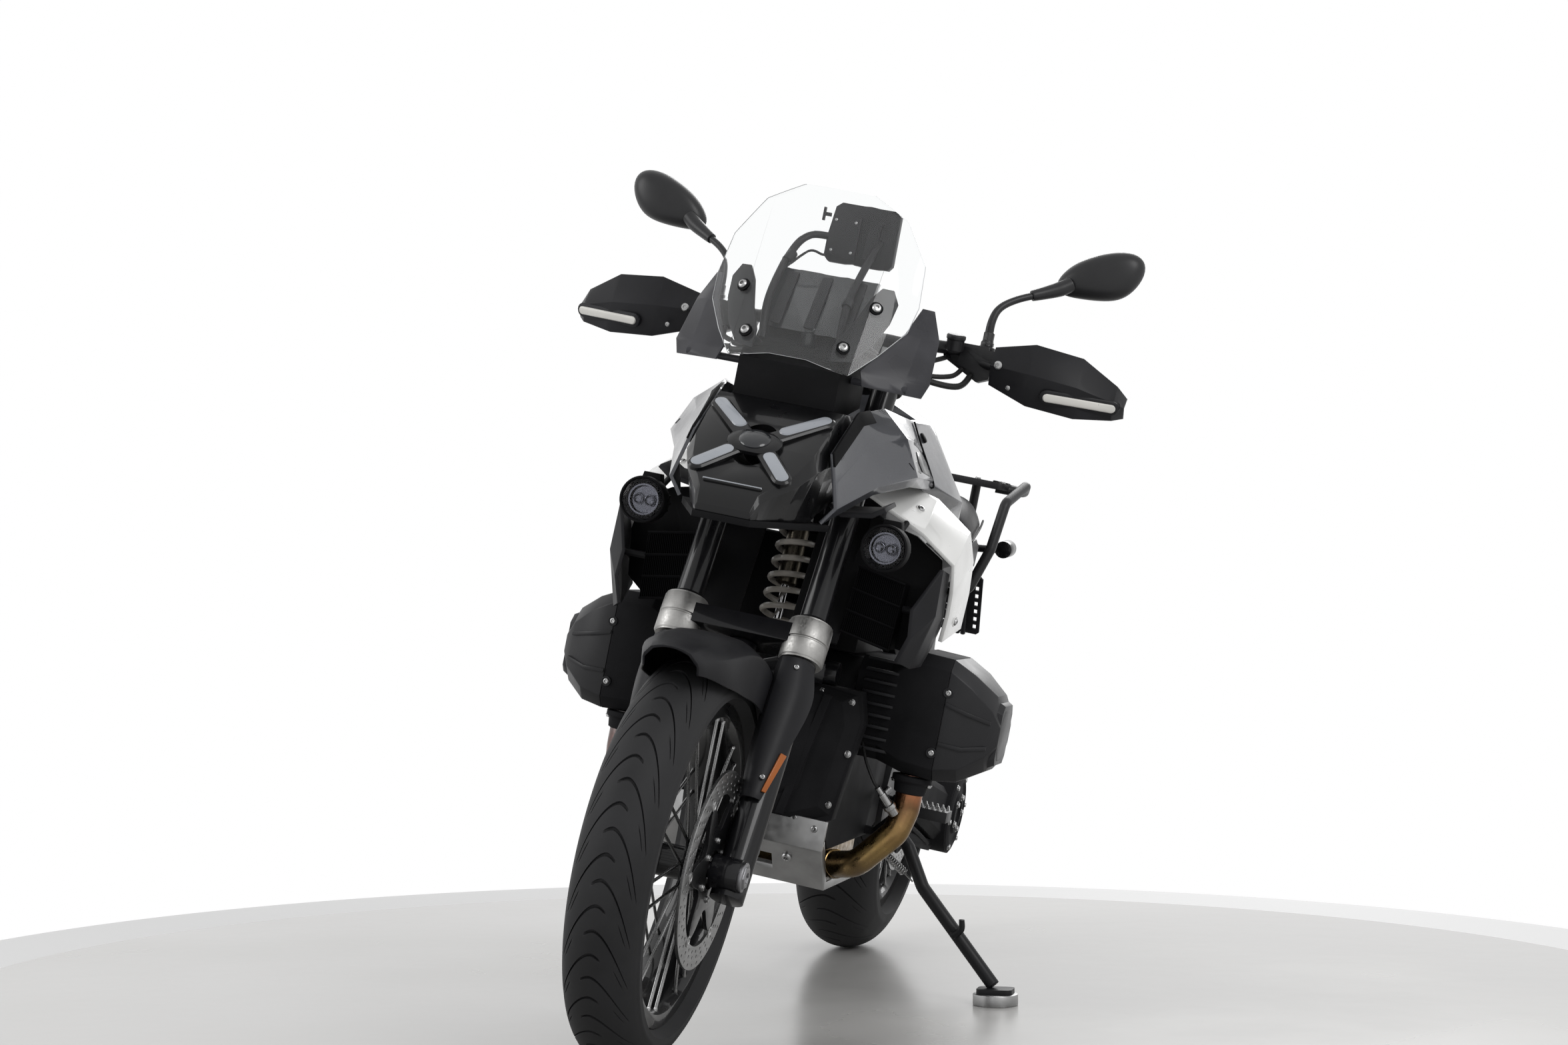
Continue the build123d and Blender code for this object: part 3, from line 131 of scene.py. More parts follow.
def grow(tree, kind, **values):
    """A new shader node with its sockets filled."""
    node = tree.nodes.new("ShaderNode" + kind)
    feed(tree, node, **values)
    return node


def maths(tree, operation, *values):
    """The result of a calculation on sockets and numbers."""
    node = grow(tree, "Math")
    node.operation = operation
    for socket, value in zip(node.inputs, values):
        if isinstance(value, bpy.types.NodeSocket):
            tree.links.new(value, socket)
        else:
            socket.default_value = value
    return node.outputs[0]


def shader(name, color, roughness, metallic=0.0, gloss=0.5):
    """A principled material, its node tree, and the shader node."""
    material = bpy.data.materials.new(name)
    material.use_nodes = True
    tree = material.node_tree
    principled = tree.nodes["Principled BSDF"]
    feed(tree, principled, Base_Color=(*color, 1.0), Roughness=roughness, Metallic=metallic)
    feed(tree, principled, Specular_IOR_Level=gloss)
    return material, tree, principled


def object_noise(tree, scale, detail=4.0, stretch=(1.0, 1.0, 1.0)):
    """Noise fixed to the object, in cycles per metre."""
    place = grow(tree, "TexCoord").outputs["Object"]
    mapped = grow(tree, "Mapping", Vector=place, Scale=stretch).outputs["Vector"]
    return grow(tree, "TexNoise", Vector=mapped, Scale=scale, Detail=detail).outputs[0]


def spread(tree, source, low, high, start=0.3, end=0.7):
    """Maps the middle of a noise to numbers between low and high."""
    span = grow(tree, "MapRange", Value=source, From_Min=start, From_Max=end)
    feed(tree, span, To_Min=low, To_Max=high)
    return span.outputs["Result"]


def ramp(tree, source, stops):
    """A colour from stops of place and colour."""
    node = grow(tree, "ValToRGB", Fac=source)
    elements = node.color_ramp.elements
    for element, (place, color) in zip(elements, (stops[0], stops[-1])):
        element.position = place
        element.color = (*color, 1.0)
    for place, color in stops[1:-1]:
        elements.new(place).color = (*color, 1.0)
    return node.outputs["Color"]


def shade(color, factor):
    return tuple(min(1.0, channel * factor) for channel in color)


def tint(tree, source, color, dark, light):
    """A colour made darker and lighter by a noise."""
    return ramp(tree, source, [(0.35, shade(color, dark)), (0.68, shade(color, light))])


def relief(tree, height, principled, strength, depth_mm):
    """Bump from a texture, its depth in millimetres."""
    bump = grow(tree, "Bump", Strength=strength, Distance=depth_mm * MM, Height=height)
    feed(tree, principled, Normal=bump.outputs["Normal"])


def moulded(name, color, roughness, grain=900.0, depth_mm=0.12, gloss=0.2):
    """Moulded plastic or powder coat: fine grain, faint mottling."""
    material, tree, principled = shader(name, color, roughness, 0.0, gloss)
    mottling = object_noise(tree, 14.0)
    feed(tree, principled, Base_Color=tint(tree, mottling, color, 0.85, 1.2))
    feed(tree, principled, Roughness=spread(tree, mottling, roughness - 0.05, roughness + 0.06))
    relief(tree, object_noise(tree, grain, 2.0), principled, 0.5, depth_mm)
    return material


def lacquered(name, color, metallic=0.0, flake=0.0, coat=0.5):
    """Sprayed lacquer under a clear coat, with orange peel and fine dust."""
    material, tree, principled = shader(name, color, 0.32, metallic, 0.15)
    feed(tree, principled, Coat_Weight=coat, Coat_Roughness=0.04)
    mottling = object_noise(tree, 2500.0 if flake else 9.0, 1.0)
    low, high = (1.0 - flake, 1.0 + flake) if flake else (0.92, 1.1)
    feed(tree, principled, Base_Color=tint(tree, mottling, color, low, high))
    feed(tree, principled, Roughness=spread(tree, object_noise(tree, 30.0), 0.26, 0.38))
    relief(tree, object_noise(tree, 160.0, 1.0), principled, 0.06, 0.3)
    return material


def bare_metal(name, color, roughness, stretch=(1.0, 1.0, 1.0), scale=500.0, depth_mm=0.03):
    """Cast, machined or brushed metal: tool marks along one direction."""
    material, tree, principled = shader(name, color, roughness, 1.0)
    marks = object_noise(tree, scale, 3.0, stretch)
    feed(tree, principled, Roughness=spread(tree, marks, roughness - 0.08, roughness + 0.1))
    feed(tree, principled, Base_Color=tint(tree, object_noise(tree, 22.0), color, 0.82, 1.08))
    relief(tree, marks, principled, 0.4, depth_mm)
    return material


def grained_cover(name, color, roughness):
    """Seat vinyl: pebble grain from cells, with soft sheen."""
    material, tree, principled = shader(name, color, roughness, 0.0, 0.2)
    feed(tree, principled, Sheen_Weight=0.05, Sheen_Roughness=0.5)
    place = grow(tree, "TexCoord").outputs["Object"]
    cells = grow(tree, "TexVoronoi", Vector=place, Scale=620.0)
    relief(tree, cells.outputs[0], principled, 0.5, 0.25)
    wear = object_noise(tree, 10.0)
    feed(tree, principled, Base_Color=tint(tree, wear, color, 0.8, 1.35))
    feed(tree, principled, Roughness=spread(tree, wear, roughness - 0.06, roughness + 0.08))
    return material


def clear(name, color, roughness, bend=1.35, sheen=0.0):
    """Clear or tinted plastic and glass, with how much it bends light."""
    material, tree, principled = shader(name, color, roughness)
    feed(tree, principled, Transmission_Weight=1.0, IOR=bend, Coat_Weight=sheen)
    haze = object_noise(tree, 40.0)
    feed(tree, principled, Roughness=spread(tree, haze, roughness, roughness + 0.004))
    return material


def heat_tinted(name, color, roughness, low, high, stops):
    """Stainless header pipe, whose colour changes with its height, between two in metres."""
    material, tree, principled = shader(name, color, roughness, 1.0)
    place = grow(tree, "TexCoord").outputs["Object"]
    height = grow(tree, "SeparateXYZ", Vector=place).outputs["Z"]
    wavy = maths(tree, "MULTIPLY_ADD", object_noise(tree, 18.0), 0.12, height)
    feed(tree, principled, Base_Color=ramp(tree, spread(tree, wavy, 0.0, 1.0, low, high), stops))
    feed(tree, principled, Roughness=spread(tree, object_noise(tree, 90.0), 0.2, 0.42))
    return material


HEAT_STOPS = [
    (0.0, (0.14, 0.10, 0.06)),
    (0.25, (0.27, 0.18, 0.07)),
    (0.45, (0.16, 0.09, 0.045)),
    (0.62, (0.30, 0.12, 0.06)),
    (0.8, (0.15, 0.09, 0.08)),
    (1.0, (0.12, 0.11, 0.11)),
]
LOOKS = {
    moulded: {
        "frame_black": ((0.010, 0.010, 0.011), 0.42, 500.0),
        "engine_dark": ((0.012, 0.012, 0.013), 0.6, 300.0, 0.2, 0.05),
        "cover_black": ((0.013, 0.013, 0.0145), 0.4, 420.0, 0.15, 0.25),
        "radiator_black": ((0.003, 0.003, 0.0035), 0.6, 900.0, 0.12, 0.06),
        "black_plastic": ((0.009, 0.009, 0.0105), 0.46, 900.0, 0.12, 0.18),
        "matt_black": ((0.0045, 0.0045, 0.005), 0.6, 700.0, 0.2, 0.08),
        "cable_black": ((0.006, 0.006, 0.006), 0.5, 900.0, 0.12, 0.3),
        "smoked_screen": ((0.03, 0.03, 0.034), 0.3),
        "rack_black": ((0.014, 0.014, 0.015), 0.42, 900.0, 0.12, 0.3),
        "bar_black": ((0.009, 0.009, 0.010), 0.38, 900.0, 0.12, 0.3),
        "mirror_black": ((0.013, 0.013, 0.014), 0.36, 900.0, 0.12, 0.3),
        "tyre_rubber": ((0.017, 0.017, 0.018), 0.62, 1400.0, 0.08, 0.2),
    },
    lacquered: {
        "spring_grey": ((0.33, 0.31, 0.28),),
        "fork_black": ((0.005, 0.005, 0.006), 0.0, 0.0, 0.35),
        "white_panel": ((0.62, 0.62, 0.61), 0.1),
        "grey_panel": ((0.062, 0.064, 0.072), 0.45, 0.25, 0.7),
        "gloss_black": ((0.003, 0.003, 0.0035), 0.0, 0.0, 0.3),
        "display_glass": ((0.008, 0.009, 0.011), 0.0, 0.0, 0.8),
        "caliper_black": ((0.008, 0.008, 0.009), 0.0, 0.0, 0.4),
        "rim_black": ((0.006, 0.006, 0.0065), 0.0, 0.0, 0.4),
        "lamp_red": ((0.16, 0.006, 0.006),),
        "amber_lens": ((0.27, 0.075, 0.012), 0.0, 0.0, 0.3),
        "frosted_lens": ((0.26, 0.275, 0.3),),
        "led_bar": ((0.55, 0.54, 0.51), 0.35),
        # painted highlight: a pale lacquer for the bright line along the screen's cut edge
        "screen_edge": ((0.5, 0.51, 0.52),),
    },
    bare_metal: {
        "bare_aluminium": ((0.36, 0.36, 0.36), 0.38, (1, 30, 1), 60.0),
        "silencer_steel": ((0.2, 0.195, 0.19), 0.3, (40, 1, 1), 40.0),
        "collar_silver": ((0.36, 0.355, 0.345), 0.46, (1, 1, 1), 260.0, 0.06),
        "axle_steel": ((0.24, 0.24, 0.25), 0.34),
        "disc_steel": ((0.3, 0.3, 0.3), 0.34, (1, 1, 1), 400.0),
        "spoke_steel": ((0.3, 0.3, 0.3), 0.3),
        "screw_steel": ((0.4, 0.4, 0.4), 0.28, (1, 1, 1), 700.0),
        "chrome_rod": ((0.6, 0.6, 0.61), 0.14),
        "damper_steel": ((0.13, 0.115, 0.09), 0.34),
        "lamp_bowl": ((0.2, 0.2, 0.215), 0.22),
        "mirror_glass": ((0.82, 0.84, 0.86), 0.06),
    },
    clear: {
        "clear_lens": ((0.9, 0.92, 0.94), 0.03),
        "clear_screen": ((0.97, 0.98, 0.98), 0.0, 1.04, 0.6),
        "lamp_glass": ((0.75, 0.76, 0.8), 0.02, 1.2),
    },
    grained_cover: {
        "seat_cover": ((0.014, 0.014, 0.0155), 0.55),
        "seat_side": ((0.007, 0.007, 0.0075), 0.5),
    },
    heat_tinted: {"header_steel": ((0.55, 0.42, 0.3), 0.28, 0.30, 0.56, HEAT_STOPS)},
}
looks = {}
for finish, rows in LOOKS.items():
    for name, values in rows.items():
        looks[name] = finish(name, *values)


# --- ways of making pieces
def placed(name, data):
    """A new object in the scene."""
    piece = bpy.data.objects.new(name, data)
    bpy.context.scene.collection.objects.link(piece)
    return piece


def clean(mesh, merge_mm=0.0, flatten=False, outward=True):
    """Merges corners, joins the faces of a plane and turns faces outwards, as asked."""
    shape = bmesh.new()
    shape.from_mesh(mesh)
    if merge_mm:
        bmesh.ops.remove_doubles(shape, verts=shape.verts, dist=merge_mm * MM)
    if flatten:
        bmesh.ops.dissolve_limit(
            shape, angle_limit=math.radians(1.0), verts=shape.verts, edges=shape.edges
        )
    if outward:
        bmesh.ops.recalc_face_normals(shape, faces=shape.faces)
    shape.to_mesh(mesh)
    shape.free()


def round_edges(piece, width_mm, degrees):
    """Rounds the edges that turn by more than an angle."""
    rounding = piece.modifiers.new("rounding", "BEVEL")
    rounding.width = width_mm * MM
    rounding.segments = 2
    rounding.limit_method = "ANGLE"
    rounding.angle_limit = math.radians(degrees)


def settle(piece, angle, node):
    """Applies the modifiers, smooths below an angle and lets the piece ride with a node."""
    depsgraph = bpy.context.evaluated_depsgraph_get()
    mesh = bpy.data.meshes.new_from_object(piece.evaluated_get(depsgraph))
    piece.modifiers.clear()
    piece.data = mesh
    mesh.polygons.foreach_set("use_smooth", [True] * len(mesh.polygons))
    mesh.set_sharp_from_angle(angle=math.radians(angle))
    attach(piece, nodes[node]["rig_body"])


def soften(node, look):
    """A copy of a rigid node with its hard edges rounded, which stands for the node."""
    mesh = nodes[node].data.copy()
    mesh.materials.clear()
    mesh.materials.append(looks[look])
    # The slotted faces of the calipers only round cleanly as triangles.
    clean(mesh, merge_mm=0.02, flatten=node != "front_calipers", outward=False)
    piece = placed(node + "_body", mesh)
    round_edges(piece, width_mm=1.6, degrees=28)
    settle(piece, 32, node)
    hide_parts(node)
    return piece


def paint(piece, look, inside):
    """Gives another material to the faces whose middle passes a test."""
    piece.data.materials.append(looks[look])
    mark = len(piece.data.materials) - 1
    for polygon in piece.data.polygons:
        if inside(*upright(polygon.center)):
            polygon.material_index = mark


def square_to(run):
    """Two unit directions square to a run and to each other."""
    run = run.normalized()
    helper = Vector((0, 0, 1)) if abs(run.z) < 0.9 else Vector((1, 0, 0))
    across = run.cross(helper).normalized()
    return across, run.cross(across)


def smooth_line(points, sizes, steps):
    """Points of a smooth line through the given ones, with their sizes."""
    if len(points) == 2 or steps == 1:
        return points, list(sizes)
    line, widths = [], []
    for i in range(len(points) - 1):
        a, b = points[max(i - 1, 0)], points[i]
        c, d = points[i + 1], points[min(i + 2, len(points) - 1)]
        for step in range(steps):
            t = step / steps
            point = b * 2 + (c - a) * t + (a * 2 - b * 5 + c * 4 - d) * (t * t)
            point += (b * 3 - a - c * 3 + d) * (t * t * t)
            line.append(point * 0.5)
            widths.append(sizes[i] + (sizes[i + 1] - sizes[i]) * t)
    return line + [points[-1]], widths + [sizes[-1]]


def circle(radius, sides=48, u=0.0, v=0.0):
    turns = [2 * math.pi * i / sides for i in range(sides)]
    return [(u + radius * math.cos(turn), v + radius * math.sin(turn)) for turn in turns]


class Shape:
    """Corners in the bike's frame, in millimetres, and marked faces between them."""

    def __init__(self):
        self.corners, self.faces, self.marks = [], [], []

    def add(self, corners, faces, mark=0):
        first = len(self.corners)
        self.corners += [tuple(corner) for corner in corners]
        self.faces += [tuple(first + i for i in face) for face in faces]
        self.marks += [mark] * len(faces)

    def both_sides(self):
        """Adds the mirror image of all there is, and returns the shape."""
        count = len(self.corners)
        self.corners += [(-x, y, z) for x, y, z in self.corners]
        self.faces += [tuple(count + i for i in reversed(face)) for face in self.faces]
        self.marks *= 2
        return self

    def bridge(self, rings, mark=0):
        """Faces between closed rings of as many corners, with the ends closed."""
        count = len(rings[0])
        faces = []
        for low in range(0, (len(rings) - 1) * count, count):
            high = low + count
            for j in range(count):
                k = (j + 1) % count
                faces.append((low + j, low + k, high + k, high + j))
        faces.append(tuple(range(count)))
        faces.append(tuple((len(rings) - 1) * count + j for j in range(count)))
        self.add([corner for ring in rings for corner in ring], faces, mark)

    def lathe(self, place, direction, profile, sides=28, mark=0):
        """A turned form about a line, from points (radius, distance along)."""
        place, along = Vector(place), Vector(direction).normalized()
        across, over = square_to(along)
        arms = [across * u + over * v for u, v in circle(1.0, sides)]
        rings = []
        for radius, distance in profile:
            middle = place + along * distance
            rings.append([middle + arm * max(radius, 0.02) for arm in arms])
        self.bridge(rings, mark)

    def tube(self, points, radius, sides=12, steps=7, mark=0):
        """A smooth round tube through points, with one radius or one each."""
        points = [Vector(point) for point in points]
        sizes = radius if isinstance(radius, list) else [radius] * len(points)
        line, widths = smooth_line(points, sizes, steps)
        rings = []
        across = square_to(line[1] - line[0])[0]
        for i, point in enumerate(line):
            run = (line[min(i + 1, len(line) - 1)] - line[max(i - 1, 0)]).normalized()
            across = (across - run * across.dot(run)).normalized()
            over = run.cross(across)
            arms = [across * u + over * v for u, v in circle(1.0, sides)]
            rings.append([point + arm * widths[i] for arm in arms])
        self.bridge(rings, mark)

    def prism(self, outline, shift, mark=0):
        """A flat outline carried along a shift."""
        outline = [Vector(point) for point in outline]
        self.bridge([outline, [point + Vector(shift) for point in outline]], mark)

    def pill(self, start, end, normal, half, height, mark=0):
        """A long raised pad with round ends, standing on a surface."""
        start, end, normal = Vector(start), Vector(end), Vector(normal).normalized()
        run = (end - start).normalized()
        side = run.cross(normal)
        rings = []
        for size, rise in [(1, -2 / height), (1, 0.5), (0.8, 0.9), (0.5, 1)]:
            ring = []
            for centre, first in ((end, -90), (start, 90)):
                for i in range(9):
                    angle = math.radians(first + 180 * i / 8)
                    arm = run * math.cos(angle) + side * math.sin(angle)
                    ring.append(centre + arm * size * half + normal * rise * height)
            rings.append(ring)
        self.bridge(rings, mark)

    def screw(self, place, direction, radius=5.0, mark=0):
        """A button-head screw with its socket."""
        r = radius
        profile = [(r, -1.5), (r, 0.3 * r), (0.78 * r, 0.62 * r), (0.46 * r, 0.68 * r)]
        profile += [(0.42 * r, 0.2 * r), (0.02, 0.2 * r)]
        self.lathe(place, direction, profile, 18, mark)

    def bolt(self, place, direction, radius=6.0, mark=0):
        """A hexagon bolt head on its washer."""
        r = radius
        self.lathe(place, direction, [(1.25 * r, -1), (1.25 * r, 1.2), (r, 1.4)], 20, mark)
        self.lathe(place, direction, [(r, 0), (r, 0.75 * r), (0.8 * r, 0.9 * r)], 6, mark)

    def spring(self, low, high, radius, wire, turns):
        """A coil spring between two points."""
        steps = 22  # in one turn
        run = high - low
        across, over = square_to(run)
        points = []
        for i in range(int(turns * steps) + 1):
            angle = 2 * math.pi * i / steps
            arm = across * math.cos(angle) + over * math.sin(angle)
            points.append(low + run * (i / (turns * steps)) + arm * radius)
        self.tube(points, wire, 8, 1)


def make(name, shape, node, names=None, bevel=0.7, angle=32, subdivide=0, instead=False):
    """A finished piece from a shape, riding with a node or instead of it, in named looks."""
    names = names or [slots[node]]
    mesh = bpy.data.meshes.new(name)
    mesh.from_pydata([at(corner) for corner in shape.corners], [], shape.faces)
    for look in names:
        mesh.materials.append(looks[look])
    mesh.polygons.foreach_set("material_index", shape.marks)
    clean(mesh)
    piece = placed(name, mesh)
    if bevel:
        round_edges(piece, bevel, degrees=30)
    if subdivide:
        smoothing = piece.modifiers.new("smoothing", "SUBSURF")
        smoothing.levels = subdivide
        smoothing.render_levels = subdivide
    settle(piece, angle, node)
    if instead:
        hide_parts(node)
    return piece


def cut_plate(name, node, look, outlines, thickness, place):
    """A plate with holes: the first outline is its edge; place maps its flat points."""
    curve = bpy.data.curves.new(name + "_outline", "CURVE")
    curve.dimensions = "2D"
    curve.fill_mode = "BOTH"
    curve.extrude = thickness / 2 * MM
    curve.bevel_depth = 0.35 * MM
    for outline in outlines:
        spline = curve.splines.new("POLY")
        spline.points.add(len(outline) - 1)
        for point, (u, v) in zip(spline.points, outline):
            point.co = (u * MM, v * MM, 0.0, 1.0)
        spline.use_cyclic_u = True
    drawn = placed(name + "_outline", curve)
    depsgraph = bpy.context.evaluated_depsgraph_get()
    mesh = bpy.data.meshes.new_from_object(drawn.evaluated_get(depsgraph))
    bpy.data.objects.remove(drawn)
    for vertex in mesh.vertices:
        vertex.co = at(place(*(vertex.co / MM)))
    mesh.materials.clear()
    mesh.materials.append(looks[look])
    clean(mesh, merge_mm=0.01)
    piece = placed(name, mesh)
    settle(piece, 30, node)
    return piece


# --- softened CAD pieces
REDRAWN = "front_tyre rear_tyre front_discs rear_disc mirrors headlight_lens nav_cradle".split()
REDRAWN += "front_shock rear_shock fog_lamps rider_seat pillion_seat plate_carrier".split()
REDRAWN += ["front_fender"]
DARK_INSIDE = ["air_ducts", "airbox", "dash_panel", "main_frame"]
shells = {}
for node in nodes:
    if node not in REDRAWN:
        shells[node] = soften(node, "matt_black" if node in DARK_INSIDE else slots[node])


COLLAR_LOW, COLLAR_HIGH = 711, 784  # along the steering axis
BRIDGE_HALF = 66  # half width of the bridge between the collars


def on_collar(x, y, z):
    side, _, along = steered(x, y, z)
    return COLLAR_LOW < along < COLLAR_HIGH and abs(side) > BRIDGE_HALF


def is_spoke(axle, hub, rim):
    return lambda x, y, z: hub < math.hypot(y - axle[1], z - axle[2]) < rim and abs(x) > 8


EDGE_HIGHLIGHT_WIDTH = 1.2  # width of the band along the cut edge, painted pale as a highlight


def within_screen(x, z):
    """Whether a face of the screen lies inside its cut edge, clear of the pale band painted there
    as a highlight.
    """
    edge = [(31, 1122), (98, 1108), (132, 1148), (164, 1196), (170, 1240), (162, 1310)]
    edge += [(120, 1376), (60, 1408), (-1, 1414), (-1, 1124)]
    place = Vector((abs(x), z))
    gap, inside = 1e9, False
    for start, end in zip(edge, edge[1:] + edge[:1]):
        (x0, z0), run = start, Vector(end) - Vector(start)
        if (z0 > z) != (end[1] > z) and place.x < x0 + run.x * (z - z0) / run.y:
            inside = not inside
        if min(x0, end[0]) >= 0:
            share = (place - Vector(start)).dot(run) / run.length_squared
            nearest = Vector(start) + run * max(0.0, min(1.0, share))
            gap = min(gap, (place - nearest).length)
    return inside and gap > EDGE_HIGHLIGHT_WIDTH


paint(shells["fork_legs"], "fork_black", lambda x, y, z: not on_collar(x, y, z))
paint(shells["front_rim"], "spoke_steel", is_spoke(FRONT_AXLE, 58, 208))
paint(shells["rear_rim"], "spoke_steel", is_spoke(REAR_AXLE, 63, 184))
# The band along the screen's cut edge gets a pale colour: a painted highlight for the light its
# edge catches.
paint(shells["windshield"], "screen_edge", lambda x, y, z: not within_screen(x, z))
paint(shells["rear_lamps"], "gloss_black", lambda x, y, z: abs(x) > 62 or y > 930)
paint(shells["nose_panels"], "matt_black", lambda x, y, z: z < 874.6 and y < -628 and abs(x) < 121)
paint(shells["handlebar"], "matt_black", lambda x, y, z: 258 < abs(x) < 400)


# --- wheels
SHOULDER = 62  # degrees from the crown to the end of the tread


def tyre_rows(radius, crown, bead_radius, bead_half):
    """A tyre's section from one bead to the other: across, radius, place along the crown."""
    centre = radius - crown
    edge = math.radians(SHOULDER)
    count = round(2 * edge * crown / 2.2)
    rows = []
    for i in range(count + 1):
        angle = -edge + 2 * edge * i / count
        rows.append((crown * math.sin(angle), centre + crown * math.cos(angle), crown * angle))
    walls = []
    for degrees, swell in [(66, 0), (71, 0.4), (76, 0.2), (79, 1.2), (82, 0.2), (90, 0)]:
        angle = math.radians(degrees)
        over = crown + swell
        walls.append((over * math.sin(angle), centre + over * math.cos(angle), crown * angle))
    drop = centre - bead_radius - 13
    walls.append((crown - (crown - bead_half) * 0.4, centre - drop * 0.4, crown * 1.62))
    walls.append((bead_half + 1.0, bead_radius + 12, crown * 1.68))
    walls.append((bead_half, bead_radius, crown * 1.72))
    return [(-x, r, -v) for x, r, v in reversed(walls)] + rows + walls


def groove_columns(around, reach):
    """A pitch's columns: place around, and the groove (from, to, depth) one cuts, or none."""
    grooves = [  # part of a pitch, groove from and to along the crown, half width, depth
        (0.0, -reach, 0.24 * reach, 2.1, 4.6),
        (0.28, -0.86 * reach, -0.6 * reach, 1.3, 3.0),
        (0.5, -0.24 * reach, reach, 2.1, 4.6),
        (0.78, 0.6 * reach, 0.86 * reach, 1.3, 3.0),
    ]
    columns = []
    for i, (part, low, high, half, depth) in enumerate(grooves):
        middle, cut = part * around, (low, high, depth)
        columns += [(middle - half - 0.8, None), (middle - half + 0.3, cut)]
        columns += [(middle + half - 0.3, cut), (middle + half + 0.8, None)]
        following = grooves[i + 1][0] if i < 3 else 1
        columns.append(((part + following) / 2 * around, None))
    return sorted(columns, key=lambda column: column[0])


def tyre(node, axle, crown, bead_radius, bead_half, pitches, reach):
    """A tyre whose grid leans with its grooves, which are cut into it."""
    radius = axle[2]
    rows = tyre_rows(radius, crown, bead_radius, bead_half)
    around = 2 * math.pi * radius / pitches
    columns = groove_columns(around, reach)
    rings = []
    for pitch in range(pitches):
        for place, cut in columns:
            ring = []
            for x, r, v in rows:
                lean = 1.35 * around * min(abs(v) / reach, 1.1) ** 1.75
                angle = (pitch * around + place + lean) / radius
                if cut:
                    low, high, depth = cut
                    inside = min(v - low, high - v)
                    r -= depth * max(0.0, min(1.0, inside / 5.0))
                ring.append((x, axle[1] + r * math.cos(angle), axle[2] + r * math.sin(angle)))
            rings.append(ring)
    total, high = len(rings), len(rows)
    faces = []
    for i in range(total):
        j = (i + 1) % total
        for k in range(high):
            m = (k + 1) % high
            faces.append((i * high + k, i * high + m, j * high + m, j * high + k))
    shape = Shape()
    shape.add([corner for ring in rings for corner in ring], faces)
    make(node + "_tread", shape, node, bevel=0, angle=38, instead=True)


FRONT_BEAD, REAR_BEAD = 241.0, 216.0  # radii of the rims
tyre("front_tyre", FRONT_AXLE, 60.0, FRONT_BEAD, bead_half=39.0, pitches=27, reach=58.0)
tyre("rear_tyre", REAR_AXLE, 85.0, REAR_BEAD, bead_half=57.0, pitches=25, reach=84.0)


def brake_disc(name, node, axle, x, outer, band):
    """A drilled steel band, its dark carrier and the bobbins between them."""
    inner = outer - band
    outlines = [circle(outer, 96), circle(inner, 96)]
    for row, radius in enumerate((inner + 8, (inner + outer) / 2 - 1, outer - 7)):
        for i in range(36):
            angle = 2 * math.pi * (i + row / 3.0) / 36
            outlines.append(circle(3.2, 8, radius * math.cos(angle), radius * math.sin(angle)))

    def place(u, v, w):
        return (x + w, axle[1] + u, axle[2] + v)

    ring = cut_plate(name + "_band", node, "disc_steel", outlines, 4.4, place)
    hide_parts(node)
    arms = []
    for i in range(72):
        angle = 2 * math.pi * i / 72
        radius = 62 + (inner - 66) * (0.5 + 0.5 * math.cos(6 * angle)) ** 1.6
        arms.append((radius * math.cos(angle), radius * math.sin(angle)))
    cut_plate(name + "_carrier", node, "rim_black", [arms, circle(31, 40)], 5.6, place)
    studs = Shape()
    side = 1 if x > 0 else -1
    bobbin = [(9, 0), (9, 7), (6, 7.6), (5, 6.4), (0.02, 6.4)]
    for i in range(6):
        spot = wheel_point(axle, x - 3.5 * side, inner + 1, 60 * i)
        studs.lathe(spot, (side, 0, 0), bobbin, 20)
        studs.bolt(wheel_point(axle, x + 3 * side, 46, 60 * i + 30), (side, 0, 0), 4.5)
    make(name + "_bobbins", studs, node, ["screw_steel"], bevel=0)


brake_disc("left_disc", "front_discs", FRONT_AXLE, 72.5, outer=155.0, band=36.0)
brake_disc("right_disc", "front_discs", FRONT_AXLE, -72.5, outer=155.0, band=36.0)
brake_disc("rear_disc", "rear_disc", REAR_AXLE, 74.5, outer=142.0, band=34.0)


def spoke_nipples(node, axle, bead, across):
    """The nipples of the crossed spokes, and the valve."""
    nipples = Shape()
    for side in (-1, 1):
        for i in range(10):
            for lead in (-5.2, 5.2):
                middle = 36.0 * (i + 0.25 * side)
                rim_end = wheel_point(axle, side * across, bead - 11, middle + lead)
                hub_end = wheel_point(axle, side * 42, 42, middle + lead * 5)
                run = (hub_end - rim_end).normalized()
                nipples.lathe(rim_end - run * 8, run, [(3.4, 0), (3.4, 13), (2.7, 15)], 8)
    valve = wheel_point(axle, 0, bead - 20, 118)
    stem = [(4, 0), (4, 10), (2.6, 12), (2.6, 30), (3.4, 30), (3.4, 38)]
    nipples.lathe(valve, Vector(axle) - valve, stem, 12)
    make(node + "_nipples", nipples, node, ["spoke_steel"], bevel=0)


spoke_nipples("front_rim", FRONT_AXLE, FRONT_BEAD, across=34.0)
spoke_nipples("rear_rim", REAR_AXLE, REAR_BEAD, across=50.0)

axle_ends = Shape()
for x, direction, profile, sides in [
    (130, 1, [(20, -9), (20, 0), (17, 2), (9.2, 2), (9.2, -4)], 6),
    (128, 1, [(24, -6), (24, 0), (22, 1.5), (9.2, 1.5)], 32),
    (-124, -1, [(17, -2), (17, 3), (15, 5), (9.2, 5), (9.2, 0)], 32),
]:
    axle_ends.lathe((x, *FRONT_AXLE[1:]), (direction, 0, 0), profile, sides)
make("axle_ends", axle_ends, "front_axle", ["axle_steel"], bevel=0.5)

